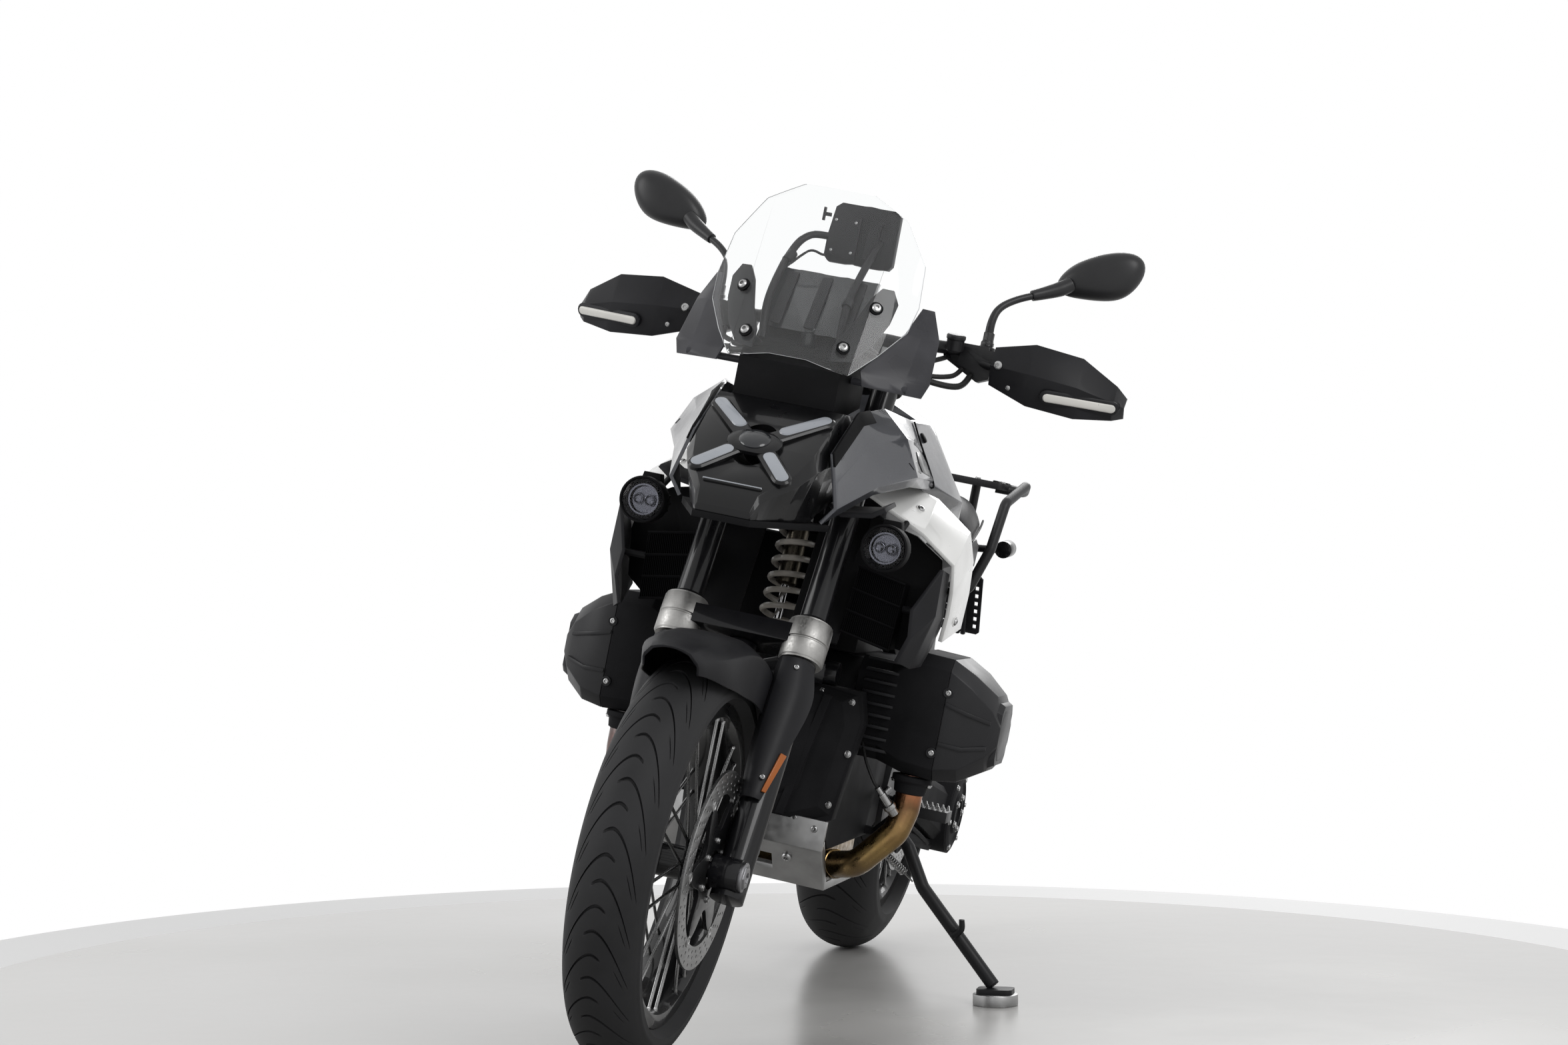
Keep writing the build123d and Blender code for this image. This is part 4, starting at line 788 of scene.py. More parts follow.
# Piston bosses, bolts, cooling ribs and the brake hose over the CAD block of each caliper.
CALIPER_TURN = 16  # degrees about the axle
calipers = Shape()
middle = wheel_point(FRONT_AXLE, 0, 133.3, CALIPER_TURN)
run = wheel_point((0, 0, 0), 0, 1, CALIPER_TURN)
rise = Vector((0, -run.z, run.y))
boss = [(16, -8), (16, 3), (13.5, 5), (9, 5), (8, 3.4), (0.02, 3.4)]
for side in (-1, 1):
    out = Vector((side, 0, 0))
    for offset in (-18, 18):
        calipers.lathe(middle + rise * offset + out * 97, out, boss, 28)
    for offset in (-37.2, 37.2):
        calipers.bolt(middle + rise * offset + out * 96, out, 6)
    for offset in (-6, 0, 6):
        spot = middle + rise * offset + run * 26
        calipers.tube([spot + out * 60, spot + out * 96], 2.2, 8)
    hose = [middle + rise * 42 + out * 84, middle + rise * 70 + run * 10 + out * 88]
    for x, behind, along in [(92, 14, 600), (72, 12, 700), (52, 22, 752)]:
        hose.append(fork_point(side * x, behind, along))
    calipers.tube(hose, 4.2, 10, mark=1)
finishes = ["caliper_black", "cable_black"]
make("caliper_details", calipers, "front_calipers", finishes, bevel=0.4)

# --- fork
FORK_HALF, LEG_BEHIND = 105, -20
collars = Shape()
collar = [(35.2, 1), (36.8, 3), (36.8, 30), (35.4, 31.5), (35.4, 33), (37, 34.5), (36.4, 64)]
collar += [(33, 68.4), (23.2, 68.4)]
spot = fork_point(FORK_HALF, LEG_BEHIND, 714.0)
collars.lathe(spot, STEER_UP, collar, 56)
collars.lathe(spot, STEER_UP, [(27.4, -2), (34, -1.4), (35.4, 3)], 56)
for along in (728, 766):
    collars.screw(fork_point(66, 4, along), (-0.5, 0.86, 0), 5, 1)
finishes = ["collar_silver", "screw_steel"]
make("fork_collars", collars.both_sides(), "fork_legs", finishes, bevel=0, angle=40)
wipers = Shape()
clamp = [(23, 0), (29, 1), (30, 3), (30, 8), (28, 9), (28, 12), (31, 14), (31, 46), (28, 50)]
for along, profile, sides, mark in [
    (784, [(25.5, -3), (25.5, 3), (23, 6)], 40, 0),
    (1222, clamp, 44, 1),
    (1276, [(22, -4), (22, 1), (17, 2), (9, 2), (8, 0), (0.02, 0)], 36, 0),
]:
    wipers.lathe(fork_point(FORK_HALF, LEG_BEHIND, along), STEER_UP, profile, sides, mark)
make("fork_wipers", wipers.both_sides(), "fork_tubes", ["matt_black", "collar_silver"], bevel=0)


# --- front fender
def between_rows(rows, key):
    """The row at a place of its first column, on a smooth curve through all rows."""
    for i in range(len(rows) - 1):
        if key <= rows[i + 1][0]:
            break
    low, high = rows[i], rows[i + 1]
    before, after = rows[max(i - 1, 0)], rows[min(i + 2, len(rows) - 1)]
    span = high[0] - low[0]
    part = (key - low[0]) / span
    row = []
    for a, b, c, d in zip(before, low, high, after):
        start = (c - a) * span / (high[0] - before[0])
        end = (d - b) * span / (after[0] - low[0])
        value = b * (2 * part**3 - 3 * part**2 + 1) + c * (3 * part**2 - 2 * part**3)
        value += start * (part**3 - 2 * part**2 + part) + end * (part**3 - part**2)
        row.append(value)
    return row


# rows: angle forwards from the top, half width at the crown and the skirt, and how far
# the crown and the skirt lie beyond the tyre
ARCH = [(-52, 44, 74, 23, -50), (-30, 46, 77.7, 25, -60), (0, 46, 77.7, 29, -57)]
ARCH += [(18, 42, 70, 41, -25), (31, 24, 44, 67, 27)]
arch = Shape()
rings = []
for i in range(34):
    angle, crown_half, skirt_half, crown_over, skirt_over = between_rows(ARCH, -52 + 83 * i / 33)
    crown, skirt = FRONT_RADIUS + crown_over, FRONT_RADIUS + skirt_over
    half = [(skirt_half, skirt), (skirt_half, (skirt + crown - 24) / 2), (skirt_half, crown - 26)]
    half += [(skirt_half - 2, crown - 19), (crown_half + 7, crown - 4.5), (crown_half - 4, crown)]
    half += [(crown_half * 0.5, crown + 2), (0, crown + 2.6)]
    inner = [(max(x - 3.6, 0), r - (3.8 if x < skirt_half - 1 else 0)) for x, r in half]
    ring = half + [(-x, r) for x, r in half[-2::-1]] + [(-x, r) for x, r in inner] + inner[-2::-1]
    rings.append([wheel_point(FRONT_AXLE, x, r, 90 + angle) for x, r in ring])
arch.bridge(rings)
# rows: place along the steering axis, then X and depth of four edges round the fork leg
COVER = [(465, 82, -46, 90, -58, 106, -60, 118, -52), (560, 74, -46, 88, -62, 118, -58, 134, -38)]
COVER += [(650, 74, -46, 88, -62, 124, -58, 145, -24), (706, 76, -46, 88, -62, 115, -60, 134, -36)]
fender = Shape()
rings = []
for i in range(22):
    along, *edges = between_rows(COVER, 465 + 241 * i / 21)
    a, b, c, d = (Vector(edges[k : k + 2]) for k in (0, 2, 4, 6))
    line = [a, a.lerp(b, 0.75), b.lerp(c, 0.22), b.lerp(c, 0.78), c.lerp(d, 0.25), d]
    inner = []
    for k, spot in enumerate(line):
        run = (line[min(k + 1, 5)] - line[max(k - 1, 0)]).normalized()
        inner.append(spot + Vector((-run.y, run.x)) * 3.0)
    rings.append([fork_point(p.x, p.y, along) for p in line + inner[::-1]])
fender.bridge(rings)
for along in (500, 690):
    fender.screw(fork_point(112, -60.5, along), (0, -1, 0.2), 4.5, 1)
fender.both_sides().add(arch.corners, arch.faces)
finishes = ["black_plastic", "screw_steel"]
make("fender_shell", fender, "front_fender", finishes, bevel=0.8, angle=34, instead=True)

reflectors = Shape()
rings = []
for along in (478, 548):
    part = (along - 465) / 95
    fold = Vector((106 + 12 * part, -60 + 2 * part))
    edge = Vector((118 + 16 * part, -52 + 14 * part))
    out = Vector((edge.y - fold.y, fold.x - edge.x)).normalized()
    ring = []
    for share, rise in ((0.5, 0.5), (1.0, 0.5), (1.0, 4.5), (0.5, 4.5)):
        spot = fold.lerp(edge, share) + out * rise
        ring.append(fork_point(spot.x, spot.y, along))
    rings.append(ring)
reflectors.bridge(rings)
make("fender_reflectors", reflectors.both_sides(), "front_fender", ["amber_lens"], bevel=1.0)

# --- nose and headlight
FACE = [(-600, 1049.7), (-660, 1014), (-715, 976), (-750, 944), (-812, 900), (-826, 874)]


def on_face(x, z, rise=0.0):
    """A point of the headlight's front face at a height, and the face's direction there."""
    for (y0, z0), (y1, z1) in zip(FACE, FACE[1:]):
        if z >= z1:
            break
    y = y0 + (y1 - y0) * (z0 - z) / (z0 - z1)
    normal = Vector((0, z1 - z0, y0 - y1)).normalized()
    return Vector((x, y, z)) + normal * rise, normal


arms, frame_ring, projector, strip = Shape(), Shape(), Shape(), Shape()
for x0, z0, x1, z1, root_z in [(38, 999, 86, 1027, 985), (34, 956, 68, 929, 968)]:
    start, normal = on_face(x0, z0, 1.5)
    end, other = on_face(x1, z1, 1.5)
    arms.pill(start, end, (normal + other).normalized(), 12.0, 8.5)
    frame_ring.pill(on_face(20, root_z, 0.5)[0], end, (normal + other).normalized(), 15.6, 7.0)
frame_ring.both_sides()
aside = Vector((1, 0, 0))
centre, normal = on_face(0, 977, 1.0)
frame_ring.pill(centre - aside * 13, centre + aside * 13, normal, 31.0, 8.0)
lens = [(25, 0), (25, 8.6), (23.6, 10.6), (17, 13.5), (9, 15), (0.02, 15.4)]
projector.lathe(centre, normal, lens, 40)
start, normal = on_face(-44, 909, 0.5)
frame_ring.pill(start, start + aside * 88, normal, 3.4, 4.0)
start, normal = on_face(-46, 909, 3.6)
strip.pill(start, start + aside * 92, normal, 1.4, 1.4)
make("headlight_frame", frame_ring, "headlight_housing", ["gloss_black"], bevel=0)
arms.both_sides()
make("headlight_arms", arms, "headlight_lens", ["frosted_lens"], bevel=0, instead=True)
make("headlight_projector", projector, "headlight_lens", ["display_glass"], bevel=0)
make("headlight_strip", strip, "headlight_lens", ["frosted_lens"], bevel=0)

bands = Shape()
rings = []
for y, x3, z3, x2, z2 in [  # half width and Z of the panel's upper edge, and of its shoulder
    (-520, 125.6, 1063.6, 161.6, 1019.7),
    (-560, 118, 1056, 146, 1010),
    (-615, 117, 1020.8, 137.1, 975.3),
    (-671, 116, 985, 128, 940),
]:
    edge = Vector((x3, z3))
    run = (Vector((x2, z2)) - edge).normalized()
    out = Vector((-run.y, run.x))
    corners = [edge + run * u + out * v for u, v in ((-2, -3), (-2, 1.6), (21, 1.6), (21, -3))]
    rings.append([(corner.x, y, corner.y) for corner in corners])
bands.bridge(rings)
make("nose_bands", bands.both_sides(), "nose_panels", ["matt_black"], bevel=0.8)

# rows: Y, half width and Z of the left nose panel's side edge, and of its shoulder
CHEEK = [(-296, 206, 975, 171, 1029), (-465, 212, 975, 183, 1033), (-560, 172, 948, 146, 1010)]
CHEEK += [(-671, 138, 902, 128, 940)]


def on_cheek(share, y, rise):
    """A point between the side edge and the shoulder of the left nose panel."""
    for row, following in zip(CHEEK, CHEEK[1:]):
        if y >= following[0]:
            break
    part = (y - row[0]) / (following[0] - row[0])
    x1, z1, x2, z2 = [a + (b - a) * part for a, b in zip(row[1:], following[1:])]
    run = Vector((x2 - x1, z2 - z1)).normalized()
    x = x1 + (x2 - x1) * share + run.y * rise
    return (x, y, z1 + (z2 - z1) * share - run.x * rise)


inlays = Shape()
for outline in [
    [(0.1, -330), (0.18, -400), (0.4, -412), (0.72, -396), (0.74, -340), (0.5, -316)],
    [(0.12, -420), (0.2, -470), (0.4, -478), (0.45, -428)],
]:
    inlays.bridge([[on_cheek(share, y, rise) for share, y in outline] for rise in (-4, 1.4)])
make("cheek_inlays", inlays.both_sides(), "nose_panels", ["gloss_black"], bevel=0.8)
winglets = Shape()
outline = [(97, 903), (120, 889), (172, 897), (192, 911), (188, 917), (168, 905), (122, 898)]
winglets.prism([(x, -560, z) for x, z in outline + [(101, 909)]], (0, 70, 12))
make("winglets", winglets.both_sides(), "nose_panels", ["black_plastic"], bevel=1.0)

# --- screen, display, cradle
SCREEN_FOOT = Vector((0, -628, 1118))
SCREEN_RISE = Vector((0, 135, 296)).normalized()
SCREEN_DEPTH = Vector((0, SCREEN_RISE.z, -SCREEN_RISE.y))
SCREEN_CURVE = 300  # radius of its bend


def on_screen(x, z, depth=0.0):
    """A point of the screen's outer face at a height, or behind it, and the way out."""
    chord = math.sqrt(SCREEN_CURVE**2 - x * x)
    fall = SCREEN_CURVE - chord
    rise = (z - SCREEN_FOOT.z - SCREEN_DEPTH.z * fall) / SCREEN_RISE.z
    aside = Vector((x, 0, 0))
    out = (aside - SCREEN_DEPTH * chord).normalized()
    return SCREEN_FOOT + aside + SCREEN_DEPTH * fall + SCREEN_RISE * rise - out * depth, out


brackets, fixings = Shape(), Shape()
outline = [(64, 1128), (98, 1134), (124, 1168), (138, 1206), (142, 1240), (130, 1262), (112, 1262)]
outline += [(98, 1240), (84, 1196), (66, 1160)]
brackets.bridge([[on_screen(x, z, depth)[0] for x, z in outline] for depth in (4.6, 10)])
for x, z in [(111, 1225), (81, 1152)]:
    spot, out = on_screen(x, z)
    fixings.lathe(spot, out, [(11, -1), (11, 1.6), (9, 2.6), (8, 2.6)], 28, 1)
    fixings.screw(spot + out * 2, out, 7.5)
foot, _ = on_screen(80, 1150, 12)
brackets.tube([foot, foot + Vector((-6, 38, -8)), (70, -520, 1128)], 8, 10)
make("screen_brackets", brackets.both_sides(), "dash_panel", ["black_plastic"], bevel=1.0)
finishes = ["screw_steel", "matt_black"]
make("screen_screws", fixings.both_sides(), "windshield", finishes, bevel=0)

cradle = Shape()
stay = [(-70, -536, 1148), (-80, -506, 1216), (-76, -440, 1296), (-58, -412, 1332)]
cradle.tube(stay + [(-22, -398, 1338), (10, -394, 1338)], 6.2)
cradle.tube([(58, -534, 1148), (50, -500, 1226), (56, -430, 1310), (62, -398, 1342)], 6.2)
cradle.tube([(-79, -470, 1262), (-52, -420, 1306), (-30, -402, 1306), (-12, -396, 1310)], 2.2, 8)
cradle.tube([(-76, -452, 1282), (-72, -438, 1298)], 8.6, 14)
cradle.tube([(50, -503, 1222), (51, -494, 1234)], 8.6, 14)
box = [(-30, 1306), (-22, 1298), (80, 1298), (86, 1306), (86, 1388), (78, 1396), (-14, 1396)]
box += [(-24, 1388), (-30, 1340)]
for y, depth, outline in [
    (-384, 17, box),
    (-401, 6, [(-26, 1312), (24, 1304), (24, 1376), (-18, 1376), (-26, 1340)]),
    (-401, 5, [(36, 1312), (56, 1308), (60, 1372), (40, 1380)]),
    (-396, 6, [(-42, 1370), (-30, 1370), (-30, 1376), (-42, 1376)]),
    (-396, 6, [(-44, 1362), (-40, 1362), (-40, 1384), (-44, 1384)]),
]:
    cradle.prism([(x, y, z) for x, z in outline], (0, -depth, 0))
for x, z in [(-18, 1366), (16, 1366), (-18, 1316), (16, 1316)]:
    cradle.screw((x, -407, z), (0, -1, 0), 2.6, 1)
finishes = ["black_plastic", "screw_steel"]
make("nav_cradle_built", cradle, "nav_cradle", finishes, bevel=1.2, instead=True)
display = Shape()
glass = [(-76, -434.5, 1265), (76, -434.5, 1265), (76, -479.5, 1177), (-76, -479.5, 1177)]
display.prism(glass, (0, 3, -1))
make("display_glass", display, "instrument_display", ["display_glass"], bevel=1.0)
hood = Shape()
for x in (-58, 0, 58):
    rib = [(x - 9, -522, 1176), (x + 9, -522, 1176), (x + 9, -456, 1266), (x - 9, -456, 1266)]
    hood.prism(rib, (0, -3, 1.5))
hood.prism([(-90, -512, 1140), (90, -512, 1140), (86, -484, 1188), (-86, -484, 1188)], (0, 4, -2))
make("display_ribs", hood, "instrument_display", ["black_plastic"], bevel=1.2)

# --- bars, guards and mirrors
leds = Shape()
out = Vector((0.313, -0.905, -0.29))
start, end = Vector((364, -295, 1147)), Vector((468, -260, 1150))
leds.pill(start, end, out, 12.5, 4.5)
leds.pill(start + out * 3.5, end + out * 3.5, out, 7.0, 4.0, 1)
leds.screw((276, -304, 1184), (-0.1, -1, 0), 7, 2)
leds.screw((300, -308, 1150), (-0.1, -1, -0.3), 4, 2)
finishes = ["black_plastic", "led_bar", "screw_steel"]
make("guard_lamps", leds.both_sides(), "hand_guards", finishes, bevel=0)

grips = Shape()
inner = Vector((262, -210, 1185))
run = (Vector((398, -169, 1166.4)) - inner).normalized()
profile = [(16.5, 0)]
for i in range(22):
    for radius, offset in ((16.8, 0), (17.6, 0.8), (17.6, 3.6), (16.8, 4.4)):
        profile.append((radius, 6 + i * 5.8 + offset))
grips.lathe(inner, run, profile + [(16.5, 138)], 24)
grips.lathe(inner, run, [(19, -5), (20, -3), (20, 2), (17, 4)], 24)
make("grips", grips.both_sides(), "handlebar", ["matt_black"], bevel=0)

controls = Shape()
switch_block = [(162, 1206), (176, 1214), (244, 1214), (252, 1160), (232, 1152), (170, 1184)]
controls.prism([(x, -240, z) for x, z in switch_block], (0, 26, 0))
reservoir = [(13, 0), (15, 2), (15, 20), (16.5, 21), (16.5, 27), (14, 29)]
controls.lathe((190, -262, 1196), (0, -0.2, 1), reservoir, 24)
controls.lathe((236, -222, 1206), (0, 0, 1), [(15, 0), (15, 8), (11, 10), (9.5, 20), (7, 22)], 20)
for x, z in [(206, 1172), (226, 1176), (216, 1192), (240, 1184)]:
    controls.lathe((x, -198, z), (0, 1, 0.2), [(6, -2), (6, 4), (4.6, 5)], 14, 1)
controls.both_sides()
for x in (-45, 45):
    for y in (-344, -316):
        controls.lathe((x, y, 1228), (0, -0.44, 0.9), [(6, 0), (6, 5), (3.4, 5), (3.4, 2)], 6, 2)
finishes = ["bar_black", "matt_black", "screw_steel"]
make("bar_controls", controls, "handlebar", finishes, bevel=1.4)
cables = Shape()
for i, (x, y, z) in enumerate([(222, -246, 1160), (206, -250, 1168), (178, -244, 1186)]):
    route = [
        (x, y, z),
        (x - 10, y - 34, z - 22 + 6 * i),
        (x - 50, -312 - 8 * i, 1136 + 9 * i),
        (x - 110, -338 + 6 * i, 1148 + 8 * i),
        (30 + 14 * i, -352, 1176 + 6 * i),
    ]
    cables.tube(route, 4.2 if i else 5.4, 10)
make("bar_cables", cables.both_sides(), "handlebar", ["cable_black"], bevel=0)

MIRROR = [(315, 1348), (330, 1374), (352, 1394), (394, 1416), (435, 1424), (459, 1414), (465, 1388)]
MIRROR += [(450, 1356), (428, 1337), (396, 1331), (360, 1329), (326, 1330)]


def mirror_ring(y, size):
    """The mirror's outline at a depth, scaled about its middle."""
    return [(392 + (x - 392) * size, y, 1376 + (z - 1376) * size) for x, z in MIRROR]


mirror_bodies, mirror_stems, mirror_faces = Shape(), Shape(), Shape()
depths = [(-128, 0.93), (-128, 1.0), (-136, 1.02), (-146, 0.96), (-156, 0.8), (-161, 0.5)]
mirror_bodies.bridge([mirror_ring(y, size) for y, size in depths + [(-162.5, 0.2)]])
mirror_faces.prism(mirror_ring(-127, 0.93), (0, 1.2, 0))
stem = [(236, -222, 1222), (236, -222, 1258), (244, -214, 1284), (268, -196, 1305)]
mirror_stems.tube(stem + [(306, -174, 1324)], [8, 7, 6.4, 6.2, 6.2], 14)
neck = [(288, -184, 1316), (308, -172, 1326), (330, -160, 1338), (346, -152, 1350)]
mirror_stems.tube(neck, [9, 11, 13, 13], 16)
lock_nut = [(12, 0), (12, 14), (10, 16), (10, 30), (7, 33)]
mirror_stems.lathe((236, -222, 1208.4), (0, 0, 1), lock_nut, 6)
mirror_bodies.both_sides()
make("mirror_bodies", mirror_bodies, "mirrors", bevel=0, subdivide=2, angle=60, instead=True)
make("mirror_stems", mirror_stems.both_sides(), "mirrors", bevel=0.6, instead=True)
make("mirror_glass", mirror_faces.both_sides(), "mirrors", ["mirror_glass"], bevel=0)


# --- springs and lamps
def strut(node, low, high, coil_low, coil_high, radius, wire, turns):
    """A coil spring over its damper, with the seats at both ends."""
    low, high, coil_low, coil_high = map(Vector, (low, high, coil_low, coil_high))
    run = (high - low).normalized()
    length = (coil_high - coil_low).length
    half = length * 0.52
    body = Shape()
    body.spring(coil_low + run * wire, coil_high - run * wire, radius - wire, wire, turns)
    for place, way, profile, sides, mark in [
        (coil_high, -run, [(18, -6), (18, half), (14, half + 3), (12, half + 4)], 30, 1),
        (coil_low, run, [(6.5, -12), (6.5, length)], 20, 2),
        (coil_low, -run, [(radius, -3), (radius, 4), (22, 7), (16, 9), (16, 18)], 34, 3),
        (coil_high, run, [(radius, -3), (radius, 5), (27, 9), (20, 11), (20, 18)], 34, 3),
        (low, run, [(17, 0), (19, 2), (19, 16), (12, 18)], 26, 3),
        (high, -run, [(17, 0), (19, 2), (19, 12), (15, 14)], 26, 3),
    ]:
        body.lathe(place, way, profile, sides, mark)
    finishes = ["spring_grey", "damper_steel", "chrome_rod", "fork_black"]
    make(node + "_coils", body, node, finishes, bevel=0, instead=True)


coil_ends = (0, -355, 670), (0, -316.5, 856)
shaft_ends = (0, -360, 645.6), (0, -312, 879.4)
strut("front_shock", *shaft_ends, *coil_ends, radius=34, wire=5.2, turns=6.5)
coil_ends = (-4, 311, 477), (-4, 233, 638)
shaft_ends = (-4, 322, 451.6), (-4, 212, 681)
strut("rear_shock", *shaft_ends, *coil_ends, radius=38, wire=6.2, turns=6)

lamps, lenses = Shape(), Shape()
LAMP_X, LAMP_Z = 203, 855
ahead = (0, -1, 0)
case = [(14, -70), (26, -66), (31, -50), (37, -34), (38, -20), (38, 0), (35, 1.5), (33.5, -3)]
lamps.lathe((LAMP_X, -578, LAMP_Z), ahead, case + [(31, -12), (20, -26), (0.02, -30)], 48)
for u, v in circle(31, 16, LAMP_X, LAMP_Z):
    lamps.tube([(u, -548, v), (u, -522, v)], 2.4, 6)
bowl = [(30, -12), (25, -3), (22, -3), (20, -13), (12, -20), (0.02, -21)]
lamps.lathe((LAMP_X, -572, LAMP_Z), ahead, bowl, 40, 1)
for x in (LAMP_X - 9, LAMP_X + 9):
    reflector = [(8.5, -8), (8.5, 0), (7, 1), (6, -4), (0.02, -6)]
    lamps.lathe((x, -566, LAMP_Z), ahead, reflector, 20, 1)
glass = [(33.4, -3), (33.4, -1), (26, 2.6), (14, 4.6), (0.02, 5.2)]
lenses.lathe((LAMP_X, -578, LAMP_Z), ahead, glass, 48)
lamps.prism([(185, -548, 880), (221, -548, 880), (217, -548, 900), (189, -548, 900)], (0, 22, 0))
stay = [(-510, 866), (-480, 880), (-452, 892), (-437, 899)]
lamps.tube([(LAMP_X, y, z) for y, z in stay], 5, 10)
lamps.both_sides()
finishes = ["matt_black", "lamp_bowl"]
make("fog_lamp_cases", lamps, "fog_lamps", finishes, bevel=0.5, instead=True)
make("fog_lamp_glass", lenses.both_sides(), "fog_lamps", ["lamp_glass"], bevel=0)

# --- side panels, radiators, tank
trims = Shape()
for spot, out in [
    ((208, -371, 925), (0.468, -0.32, 0.823)),
    ((288.5, -306, 752), (0.98, -0.1, -0.1)),
]:
    trims.lathe(spot, out, [(9, -2), (9, 0.8), (8, 1.4), (7.4, 0.8)], 24)
    trims.screw(spot, out, 6.5, 1)
make("panel_screws", trims.both_sides(), "side_panels", ["white_panel", "screw_steel"], bevel=0)
fins = Shape()
for i in range(26):
    part = (i + 0.5) / 26
    x0, z0 = 130 + 86 * part, 706 - 16 * part
    x1, z1 = 140 + 82 * part, 815 - 15 * part
    outline = [(x0, z0), (x0 + 0.8, z0), (x1 + 0.8, z1), (x1, z1)]
    fins.prism([(x, -441, z) for x, z in outline], (0, -3, 0))
for part in (0.0, 0.33, 0.66, 1.0):
    start = (130 + 10 * part, -443, 706 + 109 * part)
    fins.tube([start, (216 + 6 * part, -443, 690 + 110 * part)], 2.5, 6)
make("radiator_fins", fins.both_sides(), "radiators", ["radiator_black"], bevel=0)
seams = Shape()
seams.lathe((168, -262, 1043), (0.8, 0, 0.6), [(9, -4), (9, 1.2), (7, 2.2), (0.02, 2.4)], 28)
seam = [(154, -298, 1066), (172, -298, 1032), (206, -298, 972), (203, -298, 962)]
seams.tube(seam, 1.6, 8, 5)
make("tank_trim", seams.both_sides(), "fuel_tank", ["matt_black"], bevel=0)
cap = Shape()
lid = [(33, -14), (34, 0), (33, 3), (28, 5), (27, 3.4), (10, 3.4), (9, 4.6), (0.02, 4.6)]
cap.lathe((0, -184, 1112), (0, 0, 1), lid, 48)
for i in range(6):
    angle = math.pi * i / 3 + 0.2
    cap.screw((24 * math.cos(angle), -184 + 24 * math.sin(angle), 1115.6), (0, 0, 1), 2.4)
cap.prism([(-4, -210, 1115), (4, -210, 1115), (4, -160, 1115), (-4, -160, 1115)], (0, 0, 4))
make("filler_cap", cap, "fuel_tank", ["bare_aluminium"], bevel=0.4)

# --- engine and exhaust
COVER_MIDDLE = 486  # Z about which the front cover steps inwards
front = [(96, 606), (158, 600), (172, 556), (150, 392), (92, 366)]
front += [(-x, z) for x, z in reversed(front)]
covers = Shape()
strap = [(60, -336, 380), (74, -336, 380), (118, -336, 590), (104, -336, 592)]
covers.prism(strap, (0, -13, 0))
for x, z in [(150, 586), (160, 500), (144, 410), (92, 378), (36, 376), (96, 594)]:
    covers.bolt((x, -334, z), (0, -1, 0), 5.0, 1)
covers.both_sides()
for steps in [[(1, -329, 1), (0.86, -344, 0.86)], [(0.62, -342, 0.66), (0.52, -350, 0.56)]]:
    rings = []
    for wide, y, tall in steps:
        rings.append([(x * wide, y, COVER_MIDDLE + (z - COVER_MIDDLE) * tall) for x, z in front])
    covers.bridge(rings)
make("engine_cover", covers, "engine_block", ["engine_dark", "screw_steel"], bevel=2.0)

heads = Shape()
for x, y, z in [(299, -289, 632), (290, -290, 528)]:
    heads.lathe((x, y, z), (0.1, -1, 0), [(9, -3), (9, 1.4), (7.6, 2), (7, 0.6)], 22)
    heads.screw((x, y + 0.5, z), (0.1, -1, 0), 5.6, 1)
for part in (0.3, 0.62):
    rib = []
    # X, front Y, low Z and high Z of the cover's own stations
    for x, y, z0, z1 in [(298, -292, 478, 690), (337, -287, 484, 670), (375, -265, 508, 642)]:
        z = z0 + (z1 - z0) * part
        section = [(y - 0.5, z), (y - 0.5, z + 7), (y + 16, z + 7), (y + 16, z)]
        rib.append([(x, *corner) for corner in section])
    heads.bridge(rib)
guard = [(-246, 530), (-234, 517), (-148, 517), (-134, 532), (-134, 614), (-150, 632)]
guard += [(-232, 632), (-248, 616)]
outer = [(389, -191 + (y + 191) * 0.9, 574 + (z - 574) * 0.88) for y, z in guard]
heads.bridge([[(376, y, z) for y, z in guard], outer])
for z in range(508, 661, 19):
    fin = [(150, -262, z), (232, -262, z), (232, -262, z + 5), (150, -262, z + 5)]
    heads.prism(fin, (0, -9, 0))
finishes = ["cover_black", "screw_steel"]
make("head_details", heads.both_sides(), "cylinder_covers", finishes, bevel=1.2)

pipes = Shape()
flange = [(23.2, 0), (34, 2), (34, 10), (29, 14), (27, 30), (23.4, 32)]
pipes.lathe((258, -240, 480), (0, 0, -1), flange, 32, 3)
for x in (228, 288):
    pipes.bolt((x, -240, 468), (0, 0, -1), 5, 1)
probe, run = Vector((238, -272, 420)), Vector((-0.55, -0.45, 0.7))
sensor = [(9, -12), (9, 0), (11, 1), (11, 9), (7.5, 10), (7.5, 32), (5, 34), (5, 46)]
pipes.lathe(probe, run, sensor, 20, 1)
tip = probe + run.normalized() * 44
lead = [tip, tip + run * 16, tip + Vector((-30, 4, 40)), tip + Vector((-50, 34, 70))]
pipes.tube(lead, 2.8, 8, mark=2)
pipes.lathe((150, -222, 300), (0.72, -0.6, 0.28), [(25.5, -7), (25.5, 7), (23.2, 8)], 28)
finishes = ["header_steel", "screw_steel", "cable_black", "engine_dark"]
make("header_details", pipes.both_sides(), "exhaust_header", finishes, bevel=0.4)

